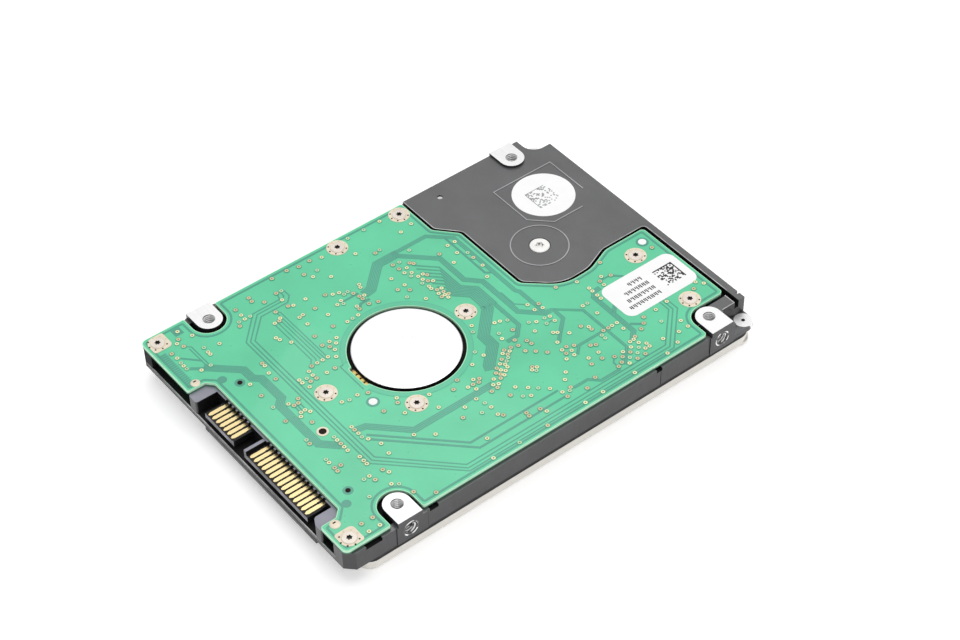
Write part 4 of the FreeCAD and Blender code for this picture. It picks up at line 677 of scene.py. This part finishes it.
# Plated through holes: (x, y).
VIAS = [
    # front left
    (-32.6, -19.8), (-28.55, -20.4), (-28.55, -21.55), (-26.3, -21.75), (-23.6, -20.9),
    (-24.1, -21.8), (-20.25, -20.95), (-20.1, -21.9), (-17.6, -21.7), (-13.9, -22.6),
    (-10.9, -19.5), (-10.9, -21.2), (-9.7, -20.5), (-9.7, -22.0), (-8.45, -21.7),
    (-10.9, -22.9), (-6.75, -22.6), (-7.65, -23.9), (-7.65, -25.2), (-7.65, -26.5),
    (-7.65, -27.75), (-4.4, -24.55), (-4.4, -26.5), (-24.25, -24.7), (-22.3, -25.0),
    (-21.75, -25.5), (-21.75, -26.6), (-28.0, -24.8), (-30.95, -26.55), (-29.8, -26.65),
    (-15.4, -27.15), (-18.3, -28.75), (-17.45, -28.45), (-26.5, -29.25), (-26.5, -30.55),
    (-26.5, -31.9), (-25.45, -32.35), (-29.8, -30.5), (-27.9, -30.45), (-6.8, -29.0),
    (-5.55, -29.05), (-4.4, -28.9), (-5.55, -30.4), (-4.4, -30.3), (-6.05, -31.8),
    (-5.1, -31.8), (-3.4, -31.3), (-14.3, -34.75), (-13.4, -34.75), (-11.3, -35.3),
    (-9.25, -35.15), (-2.25, -34.75), (-1.25, -35.45), (-1.25, -36.45), (-2.25, -37.05),
    (-24.0, -38.2), (-29.3, -41.05), (-25.0, -41.2), (-23.5, -41.2), (-22.7, -41.2),
    (-32.0, -42.75), (-30.1, -43.8), (-29.2, -44.65), (-27.8, -44.05), (-20.2, -42.75),
    (-20.2, -44.9), (-11.1, -39.75), (-7.3, -39.75), (-3.4, -39.75), (-27.55, -47.0),
    (-25.9, -46.8), (-24.3, -46.95), (-23.3, -46.95), (-22.25, -46.95),
    # front right
    (9.5, -20.1), (10.55, -20.7), (13.6, -21.3), (4.95, -23.5), (10.7, -24.1), (19.1, -23.3),
    (21.6, -20.1), (4.1, -25.5), (4.2, -27.4), (3.75, -28.85), (10.1, -31.2), (11.1, -31.2),
    (12.25, -31.2), (13.4, -31.2), (14.55, -30.6), (16.95, -29.4), (19.8, -29.75),
    (33.05, -28.8), (30.3, -31.9), (22.4, -33.05), (23.6, -32.5), (27.1, -32.85),
    (26.2, -33.9), (17.15, -34.45), (18.35, -34.45), (19.4, -34.45), (10.1, -35.25),
    (11.15, -35.25), (12.3, -35.25), (13.35, -35.25), (14.45, -35.25), (22.1, -35.9),
    (23.5, -35.6), (22.1, -37.2), (1.05, -35.45), (1.95, -34.9), (1.05, -36.4),
    (1.95, -37.1), (4.45, -36.2), (16.6, -38.45), (26.15, -38.85), (1.05, -40.0),
    (7.45, -39.75), (8.6, -39.8), (13.75, -39.7), (14.75, -39.7), (16.4, -39.7),
    (17.35, -39.7), (30.5, -41.4), (32.75, -41.4), (30.4, -43.8), (32.75, -43.8),
    # left of the motor
    (-18.0, 15.3), (-13.75, 15.3), (-11.9, 15.3), (-8.9, 15.3), (-18.0, 13.45),
    (-15.1, 13.6), (-5.75, 13.95), (-13.2, 11.35), (-17.0, 10.6), (-27.9, 11.65),
    (-27.25, 8.5), (-32.6, 7.1), (-32.6, 3.0), (-32.6, -1.0), (-21.8, 6.55), (-25.7, 1.9),
    (-25.5, 0.75), (-27.9, -2.5), (-31.4, -8.4), (-25.6, -10.25), (-32.1, -10.95),
    (-28.85, -11.35), (-27.8, -13.05), (-32.05, -13.6), (-29.5, -14.1), (-32.6, -16.2),
    (-23.6, -18.0), (-20.2, -18.0), (-17.1, -17.1), (-13.9, -18.15), (-22.0, -14.3),
    (-21.2, -13.0), (-20.8, -11.75), (-19.8, -11.25), (-19.95, -10.3), (-18.8, -9.7),
    (-20.2, -7.25), (-19.3, -7.5), (-17.0, -8.3), (-16.45, -9.1), (-17.4, -9.25),
    (-14.55, -8.95), (-13.8, -7.15), (-15.4, -11.3), (-14.45, -11.3), (-13.3, -12.55),
    (-13.2, -13.95), (-13.1, -15.3), (-18.75, -12.8), (-17.7, -12.95), (-18.2, -14.05),
    (-17.4, -1.25), (-14.25, -0.3), (-12.5, -0.3), (-14.1, -2.2), (-11.2, -2.0),
    (-8.45, 0.6), (-20.4, 1.4), (-20.25, 2.9), (-18.7, 1.6), (-17.1, 1.8), (-15.5, 2.3),
    (-18.8, 4.3), (-18.1, 4.9), (-17.95, 3.0), (-16.3, 3.0), (-14.55, 3.3), (-14.45, 4.4),
    (-13.75, 5.0), (-13.3, 3.5), (-12.45, 2.75), (-12.25, 4.0), (-11.6, 4.8), (-10.9, 3.2),
    (-10.1, 3.2), (-8.9, 4.85), (-9.1, 3.9), (-8.1, 3.5), (-7.9, 4.5), (-6.75, 5.0),
    (-7.0, 4.2), (-6.9, 3.4), (-6.0, 4.3),
    # right of the motor
    (6.75, 17.0), (8.2, 16.9), (10.9, 16.45), (12.4, 16.5), (16.9, 16.45), (5.6, 15.1),
    (7.6, 15.3), (10.6, 15.3), (12.1, 14.7), (15.3, 14.75), (14.8, 14.1), (17.4, 13.0),
    (10.45, 13.45), (9.6, 12.25), (12.2, 11.55), (20.05, 14.95), (19.45, 13.6),
    (20.85, 13.75), (22.1, 13.35), (19.55, 12.4), (20.8, 12.4), (22.0, 11.45), (22.1, 17.5),
    (24.5, 17.45), (26.2, 16.95), (24.5, 14.9), (26.1, 14.4), (29.2, 12.6), (33.1, 11.25),
    (30.4, 9.6), (18.25, 9.8), (24.6, 9.1), (26.05, 7.7), (6.45, 9.3), (9.2, 8.5),
    (5.75, 8.0), (5.5, 6.9), (8.3, 5.7), (9.8, 5.3), (13.25, 8.7), (14.4, 8.95),
    (16.6, 8.25), (11.7, 6.95), (13.25, 6.6), (15.25, 6.7), (28.2, 7.25), (28.8, 6.6),
    (28.2, 5.25), (29.75, 5.25), (33.1, 6.9), (26.0, 4.0), (24.5, 2.3), (23.2, 0.9),
    (25.2, 0.1), (21.5, -0.9), (24.3, -1.25), (22.6, -2.95), (30.2, -0.25), (28.95, -0.75),
    (28.1, -3.5), (29.0, -3.6), (33.1, -2.4), (33.1, -9.25), (33.1, -15.4), (28.5, -13.25),
    (25.8, -7.25), (24.95, -7.9), (22.7, -7.7), (21.1, -8.0), (22.75, -9.9), (21.5, -13.55),
    (19.6, -11.55), (16.5, -15.4), (12.7, -14.8), (14.6, -10.4), (13.1, -8.4),
    (19.25, -8.55), (19.6, -5.05), (3.25, 2.9), (4.75, 2.0), (9.3, -1.1), (11.1, -0.3),
    (11.7, -3.5), (15.4, -4.8), (16.1, -5.5), (14.9, -5.9), (15.9, -6.75), (17.25, -7.0),
    (15.9, -7.9), (12.7, 5.1), (13.4, 4.3), (12.5, 3.7), (13.8, 3.5), (13.05, 2.8),
    (14.6, 2.95), (15.1, 2.2), (14.1, 1.7), (15.6, 1.4), (16.4, 1.3), (14.9, 0.7),
    (16.95, 0.45), (15.45, -0.5), (16.3, -0.2), (17.75, -0.45), (17.1, -0.9),
    (16.3, -1.4), (17.95, -1.6), (17.3, -2.75), (18.9, -2.8), (19.45, -3.55), (18.45, -3.8),
    # rear
    (23.1, 46.2), (21.8, 45.1), (23.0, 43.6), (8.7, 45.1), (5.4, 34.1), (9.6, 33.4),
    (8.7, 31.6), (9.55, 30.55), (10.8, 30.55), (9.75, 27.55), (10.8, 27.55), (12.3, 27.55),
    (13.4, 27.55), (6.8, 26.9), (12.8, 24.5), (12.8, 23.4), (5.3, 22.6), (16.1, 24.3),
    (22.3, 37.05), (28.05, 35.6), (30.1, 35.6), (22.7, 33.8), (25.8, 32.5), (30.1, 33.25),
    (32.1, 31.1), (22.7, 30.6), (24.05, 29.5), (29.6, 29.6), (24.9, 28.1), (33.1, 27.6),
    (25.7, 25.75), (26.2, 25.0), (26.2, 24.0), (22.6, 25.45), (20.6, 25.45), (20.6, 24.25),
    (20.6, 23.2), (20.6, 22.05), (21.4, 20.95), (22.4, 20.95), (17.95, 20.5),
    (18.85, 20.5), (16.9, 19.4), (22.6, 18.4), (33.1, 19.3), (28.5, 26.25), (29.5, 26.2),
    (27.4, 25.2), (29.4, 25.2), (28.4, 24.3), (30.5, 24.2), (27.4, 23.2), (29.4, 23.2),
    (28.4, 22.2), (30.5, 22.2), (27.4, 21.2), (29.4, 21.2), (28.4, 20.2), (30.5, 20.15),
    (27.4, 19.1), (29.4, 19.15), (29.85, 18.0),
]


def top_loops(node, level):
    """The outlines of a CAD node's flat top, as lists of (x, y), the longest first."""
    mesh = NODES[node].data
    edges = {}
    for face in mesh.polygons:
        if face.normal.z > 0.99 and abs(face.center.z / MM - level) < 0.01:
            spots = [mesh.vertices[index].co for index in face.vertices]
            corners = [(round(spot.x / MM, 3), round(spot.y / MM, 3)) for spot in spots]
            edges.update(dict.fromkeys(zip(corners, corners[1:] + corners[:1])))
    following = {a: b for a, b in edges if (b, a) not in edges}
    loops = []
    while following:
        start, point = following.popitem()
        loop = [start]
        while point != start and point in following:
            loop.append(point)
            point = following.pop(point)
        loops.append(loop)
    return sorted(loops, key=perimeter, reverse=True)


def perimeter(loop):
    return sum(math.dist(a, b) for a, b in zip(loop, loop[1:] + loop[:1]))


def thinned(loop, gap):
    """A loop without points that crowd each other."""
    kept = [loop[0]]
    for point in loop[1:]:
        if math.dist(point, kept[-1]) > gap:
            kept.append(point)
    return kept


def arc_path(radius):
    """An arc about the spindle that leaves out the lead notch."""
    half_notch, steps = 4.2, 96
    opening = math.asin(half_notch / radius)
    start = -math.pi / 2 + opening
    sweep = math.tau - 2 * opening
    return [(SPINDLE[0] + radius * math.cos(start + sweep * i / steps),
             SPINDLE[1] + radius * math.sin(start + sweep * i / steps)) for i in range(steps + 1)]


def copper():
    """Tracks under the solder mask, and the mask's pale edge."""
    tracks = Piece("board_tracks", "trace", "band", "ring", "bare")
    low = BOARD_TOP - 0.02
    field, rim, line, ridge = (BOARD_TOP + rise for rise in (0.01, 0.012, 0.02, 0.022))
    for width, path in LINES:
        tracks.ribbon(path, width, low, line)
    for count, width, path in BUNDLES:
        tracks.ribbon(path, width, low, field, 1)
        pitch = width / count
        for i in range(count):
            tracks.ribbon(path, pitch * 0.6, low, ridge, 0, shift=(i + 0.5) * pitch - width / 2)
    for k in range(FAN_LINES):
        high = 10.75 - 0.42 * k
        middle = high - 2.5
        start = -17.9 + 1.34 * k
        path = [(start, 4.4), (start + middle - 4.4, middle), (-7.1 + 0.17 * k, middle),
                (-4.6 + 0.17 * k, high), (1.2, high)]
        tracks.ribbon(path, 0.42, low, field, 1)
        tracks.ribbon(path, 0.24, low, ridge, 0)
    # the bare rim of the board and of its spindle hole
    for loop in top_loops("circuit_board", BOARD_TOP)[:2]:
        tracks.ribbon(offset(thinned(loop, 0.08), 0.1, True), 0.15, low, rim, 3, True)
    tracks.ribbon(softened(EDGE_LINE), 0.42, low, rim, 0, True)
    for radius, width, look in ((12.4, 0.9, 2), (12.95, 0.28, 1)):
        tracks.ribbon(arc_path(radius), width, low, rim, look)
    # a hatched strip at the front left corner, and a square behind it
    for i in range(19):
        x = -28.4 + 0.58 * i
        tracks.box(x, -49.3, x + 0.36, -47.9, low, line)
    tracks.box(-28.7, -49.5, -17.6, -47.7, low, BOARD_TOP + 0.008, 1)
    tracks.box(-33.0, -43.75, -31.0, -41.8, low, rim)
    for x, y in ((-15.6, -43.2), (24.8, -43.1)):
        tracks.disc(x, y, low, line, 0.95, 0, 28, 0.01)
    for x, y in TEST_POINTS:
        tracks.disc(x, y, low, BOARD_TOP + 0.018, 1.05, 0, 28, 0.01, 0.5)
    for x, y in TOOLING_HOLES:
        tracks.disc(x, y, low, BOARD_TOP + 0.016, 1.35, 0, 28, 0.01, 0.85)
    tracks.done()


# Bare metal stands higher than any track.
PLATE_LOW = BOARD_TOP - 0.02
PLATE_TOP = BOARD_TOP + 0.11


def via_holes():
    """Plated through holes, each with a dark outline, a ring and a mouth."""
    seeded = random.Random(5)
    low, top = PLATE_LOW, PLATE_TOP
    vias = Piece("board_vias", "via", "via_pink", "via_tented", "trace", "via_hole")
    four_close = [(20.05 + 0.62 * dx, 5.05 + 0.62 * dy)
                  for dx, dy in ((1, 0), (-1, 0), (0, 1), (0, -1))]
    for x, y in VIAS + four_close:
        tone = seeded.choice((0, 0, 0, 1, 1, 2))
        x += seeded.uniform(-0.04, 0.04)
        y += seeded.uniform(-0.04, 0.04)
        outline = 0.56 if tone == 1 else 0.5
        vias.disc(x, y, low, top, outline, 3, 16, 0.02)
        vias.disc(x, y, low, top + 0.026, 0.43, tone, 16, 0.03, 0.18)
        vias.disc(x, y, low, top + 0.006, 0.19, 4, 10)
    vias.done()


def screw_pad(pads, x, y):
    """The bare pad under a board screw: round, or a rounded square at the front corners."""
    low, top = PLATE_LOW, PLATE_TOP
    if y < -45:
        out = math.copysign(1, x)
        corners = [(x + 1.95 * out, y - 1.95, 1.9), (x + 1.95 * out, y + 2.2, 0.6),
                   (x - 2.25 * out, y + 2.2, 0.9), (x - 2.25 * out, y - 1.95, 0.6)]
        centre = Vector((x, y))
        outline = [Vector(point) for point in softened(corners)]
        hole = [centre + (point - centre).normalized() for point in outline]
        pads.loft([[(*point, z) for point in path] for path, z in
                   ((outline, low), (outline, top), (hole, top), (hole, low))], 0, False)
    else:
        pads.disc(x, y, low, top, 2.25, 0, 40, 0.03, 1.0)
    # Eight small vias ring each pad: three copper-tinted, five near black as painted shade in their
    # holes.
    for i in range(8):
        turn = math.tau * i / 8
        pads.disc(x + 1.86 * math.cos(turn), y + 1.86 * math.sin(turn),
                  low, top + 0.006, 0.19, 3 if 2 <= i <= 4 else 1, 10)


def plated():
    """Screw pads, test points, plugged holes and solder blobs on the board; the near-black discs in
    the holes are painted shade.
    """
    low, top = PLATE_LOW, PLATE_TOP
    pads = Piece("board_pads", "pad", "hole", "paper", "via_pink")
    for x, y in BOARD_SCREWS:
        screw_pad(pads, x, y)
    # a lone plated hole, its near-black centre painted shade
    pads.disc(7.6, -36.1, low, top, 1.2, 0, 32, 0.03)
    pads.disc(7.6, -36.1, low, top + 0.006, 0.76, 1, 28)
    for x, y in TEST_POINTS:
        pads.disc(x, y, low, top, 0.5, 1, 20)
    for x, y in TOOLING_HOLES:
        pads.disc(x, y, low, top, 0.85, 2, 28, 0.02)
    for x, y, radius in ((-18.1, -47.7, 1.0), (27.5, -47.6, 1.1)):
        rings = [(radius * share, BOARD_TOP + rise)
                 for share, rise in ((1.0, -0.02), (0.95, 0.1), (0.8, 0.17), (0.5, 0.22))]
        pads.loft(circles(x, y, rings, 28))
        pads.box(x - 0.45, y - 0.3, x - 0.15, y + 0.35, BOARD_TOP + 0.1, BOARD_TOP + 0.23, 1)
    pads.done()


def code_block(piece, x0, y0, size, seed, level, density, frame_lines=True):
    """A square of random cells, which encodes nothing."""
    seeded = random.Random(seed)
    cells = 16
    cell = size / cells
    for row in range(cells):
        for column in range(cells):
            on = seeded.random() < density
            if frame_lines and (column == 0 or row == cells - 1):
                on = True
            if on:
                x = x0 + column * cell
                y = y0 + row * cell
                piece.box(x, y, x + cell * 0.98, y + cell * 0.98, level - 0.01, level + 0.012)


def prints():
    """Marks on the three labels: bars in place of words, and random cells."""
    seeded = random.Random(11)
    marks = Piece("board_label_print", "ink")
    code_block(marks, 14.2, 40.25, 4.9, 3, LABEL_TOP, 0.45)
    low, high = LABEL_TOP - 0.01, LABEL_TOP + 0.01
    for x, start, end in ((19.35, 38.0, 30.4), (17.55, 38.0, 30.5), (15.75, 37.9, 31.4),
                          (14.0, 37.5, 33.8)):
        y = start
        while y > end + 0.4:
            length = seeded.uniform(0.45, 1.0)
            marks.box(x - 0.5, y - 0.26, x + 0.5, y, low, high)
            marks.box(x - 0.5, y - 0.64, x - 0.5 + length, y - 0.4, low, high)
            y -= 0.9
    marks.done()
    marks = Piece("round_label_print", "pale_ink")
    code_block(marks, -20.1, 35.6, 5.2, 8, 8.98, 0.34, False)
    marks.box(-20.15, 35.45, -15.0, 35.62, 8.97, 8.99)
    marks.box(-20.3, 35.45, -20.12, 40.4, 8.97, 8.99)
    marks.done()
    marks = Piece("top_label_print", "ink", "pale_ink")
    low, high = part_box("top_label")
    under = low.z / MM
    margin, head, pitch = 6, 14, 3.2
    left, right = low.x / MM + margin, high.x / MM - margin
    for row in range(14):
        y = high.y / MM - head - pitch * row
        marks.box(left, y, left + (right - left) * seeded.uniform(0.35, 0.95), y + 1.1,
                  under - 0.012, under + 0.01, row % 3 == 0)
    marks.done()


def threads():
    """The screw threads that show in the mounting holes."""
    made = Piece("mount_threads", "can", "mouth")
    turns, steps, pitch, bore = 5, 24, 0.5, 1.25
    places = [((x, y, 9.3), Matrix.Identity(3)) for x, y in BOSSES]
    for x, y in BOSSES:
        turn = Matrix.Rotation(math.copysign(math.pi / 2, x), 3, "Y")
        places.append(((math.copysign(34.6, x), y, SIDE_HOLE_Z), turn))
    for place, turn in places:
        rows = []
        for i in range(turns * steps + 1):
            angle = math.tau * i / steps
            drop = -pitch * i / steps
            row = []
            for radius, shift in ((bore + 0.02, 0.2), (bore - 0.2, 0.03), (bore - 0.2, -0.03),
                                  (bore + 0.02, -0.2)):
                point = turn @ Vector((radius * math.cos(angle), radius * math.sin(angle),
                                       drop + shift)) + Vector(place)
                row.append(made.mesh.verts.new(point * MM))
            rows.append(row)
        for a, b in zip(rows, rows[1:]):
            for j in range(4):
                face = made.mesh.faces.new((a[j], b[j], b[(j + 1) % 4], a[(j + 1) % 4]))
                # The side threads take the patchy look: painted glints and shade on bare metal.
                face.material_index = int(abs(place[0]) > 34)
        made.mesh.faces.new(rows[0])
        made.mesh.faces.new(rows[-1])
    made.done()


def side_rims():
    """The bright countersunk mouths of the side mounting holes: rubbed coat with painted glints."""
    made = Piece("side_hole_rims", "mouth")
    for bx, by in BOSSES:
        face = math.copysign(SIDE_FACE, bx)
        out = math.copysign(1, bx)
        loops = [[(face + out * shift, by + radius * math.cos(math.tau * i / 36),
                   SIDE_HOLE_Z + radius * math.sin(math.tau * i / 36)) for i in range(36)]
                 for radius, shift in ((1.8, -0.03), (1.76, 0.02), (1.5, 0.0), (1.22, -0.3))]
        made.loft(loops, 0, False)
    made.done()


def connector_details():
    """Dark comb slots behind the contacts."""
    comb = Piece("contact_comb", "plastic")
    for first, count in ((-11.075, 7), (2.895, 15)):
        for i in range(count + 1):
            x = first + CONTACT_PITCH * (i - 0.5)
            comb.box(x - 0.25, -46.35, x + 0.25, -45.35, 7.18, 7.36)
    comb.done()


def head_flex():
    """The head lead's loop, in one fixed shape; the real loop bends as the arm swings."""
    steps, thick, low, high = 40, 0.12, 1.8, 4.8
    start, middle, finish = Vector((0.7, 32.35)), Vector((5.6, 39.6)), Vector((10.15, 33.3))
    path = []
    for i in range(steps + 1):
        t = i / steps
        path.append(start * (1 - t) ** 2 + middle * 2 * t * (1 - t) + finish * t ** 2)
    outer = offset([tuple(p) for p in path], thick / 2)
    inner = offset([tuple(p) for p in path], -thick / 2)
    made = Piece("head_flex", "flex", "copper")
    rows = []
    for (ax, ay), (bx, by) in zip(outer, inner):
        rows.append([made.mesh.verts.new((x * MM, y * MM, z * MM)) for x, y, z in
                     ((ax, ay, low), (ax, ay, high), (bx, by, high), (bx, by, low))])
    for a, b in zip(rows, rows[1:]):
        for j in range(4):
            made.mesh.faces.new((a[j], b[j], b[(j + 1) % 4], a[(j + 1) % 4]))
    made.mesh.faces.new(rows[0])
    made.mesh.faces.new(rows[-1])
    ribbon = made.done(body=None)
    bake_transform(ribbon)
    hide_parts("flex_cable")


def motor_solder():
    """Solder on the four motor contacts, beside the spindle hole."""
    made = Piece("motor_solder", "solder", "hole", "paper")
    low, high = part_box("motor_contacts")
    top = high.z / MM
    y = (low.y + high.y) / 2 / MM
    pitch, half_length, half_width = 1.3, 0.52, 0.42
    for i in range(4):
        x = low.x / MM + 0.4 + pitch * i
        rings = [(half_length * share, top + rise)
                 for share, rise in ((1.0, -0.01), (0.95, 0.1), (0.7, 0.22), (0.35, 0.28))]
        made.loft(circles(x, y, rings, 16, half_width / half_length))
        # A near-black dot beside each blob: painted shade in a hole.
        made.disc(x + 0.5 * pitch, y + 0.1, top - 0.02, top + 0.1, 0.17, 1)
    made.disc(x + 0.75 * pitch, y + 0.15, top, top + 0.3, 0.28, 2, 20, 0.05)
    made.done(smooth=True)


def deck_edges():
    """Painted highlights along the edges of the deck and the front wall, and two seams in the side
    wall.
    """
    made = Piece("casting_edge_highlights", "edge_highlight", "ridge", "well")
    low, high = DECK_TOP - 0.02, DECK_TOP + 0.012
    loop = top_loops("base_casting", DECK_TOP)[0]
    first = min(range(len(loop)), key=lambda i: math.dist(loop[i], (-34.75, 14.6)))
    loop = loop[first:] + loop[:first]
    last = min(range(len(loop)), key=lambda i: math.dist(loop[i], (27.05, 48.52)))
    path = offset(thinned(loop[:last + 1], 0.08), 0.11)
    # Light ribbons just inside the deck's edges: painted highlight.
    made.ribbon(path, 0.14, low, high)
    made.ribbon([(28.0, 47.36), (30.71, 47.36), (30.71, 44.2)], 0.14, low, high)
    # Light lines along the front strip's top edge and lower lip: painted highlights.
    made.box(-32.6, -50.13, 30.6, -49.96, 4.9, 5.02)
    made.box(-32.6, -50.13, 30.6, -50.09, 4.45, 4.53, 1)
    made.box(-10.9, -50.12, 20.9, -50.07, 3.2, 3.3, 1)
    for y, seam_top in ((24.6, 7.6), (-32.1, 8.25)):
        made.box(34.7, y - 0.05, 34.78, y + 0.05, 3.85, seam_top, 2)
    made.done()


copper()
deck_edges()
head_flex()
motor_solder()
via_holes()
plated()
prints()
threads()
side_rims()
connector_details()


# ------------------------------------------------------------------ stage, light and camera

def floor_and_world():
    """A pale floor and an even white sky, in metres."""
    floor_mesh = bpy.data.meshes.new("floor")
    reach = 1.5
    floor_mesh.from_pydata([(-reach, -reach, 0), (reach, -reach, 0), (reach, reach, 0),
                            (-reach, reach, 0)], [], [(0, 1, 2, 3)])
    floor = bpy.data.objects.new("floor", floor_mesh)
    bpy.context.scene.collection.objects.link(floor)
    look = Look("floor_paper", 0.9, 0.0, 0.0, 0.1)
    look.colour(look.noise(0.01, 2.0), (0.3, (0.93, 0.93, 0.93)), (0.7, (0.95, 0.95, 0.95)))
    look.shader.inputs["Emission Color"].default_value = (1.0, 1.0, 1.0, 1.0)
    look.shader.inputs["Emission Strength"].default_value = 0.3
    floor_mesh.materials.append(look.material)

    world = bpy.data.worlds.new("studio")
    world.use_nodes = True
    background = world.node_tree.nodes["Background"]
    background.inputs["Color"].default_value = (1.0, 1.0, 1.0, 1.0)
    background.inputs["Strength"].default_value = 0.64
    bpy.context.scene.world = world


def lamps():
    """Two soft lamps that face the drive."""
    for name, place, size, power in (("softbox_top", (-0.1, 0.2, 0.9), 0.9, 4.0),
                                     ("softbox_side", (0.6, -0.5, 0.6), 0.6, 1.0)):
        lamp = bpy.data.lights.new(name, "AREA")
        lamp.size = size
        lamp.energy = power
        made = bpy.data.objects.new(name, lamp)
        made.location = place
        made.rotation_euler = (-Vector(place)).to_track_quat("-Z", "Y").to_euler()
        bpy.context.scene.collection.objects.link(made)


def photo_camera():
    """The camera that was fitted to the photo: its axes in the frame, and its place in metres."""
    data = bpy.data.cameras.new("camera")
    data.lens = 86.43
    data.sensor_width = 36.0
    data.clip_start = 0.01
    camera = bpy.data.objects.new("camera", data)
    across = Vector((0.62086, 0.78376, -0.01562))
    up = Vector((-0.54492, 0.44582, 0.71014))
    back = Vector((0.56355, -0.43239, 0.70388))
    turn = Matrix((across, up, back)).transposed().to_4x4()
    camera.matrix_world = Matrix.Translation((0.2582, -0.1906, 0.3280)) @ turn
    bpy.context.scene.collection.objects.link(camera)
    bpy.context.scene.camera = camera
    bpy.context.scene.view_settings.view_transform = "Standard"


floor_and_world()
lamps()
photo_camera()
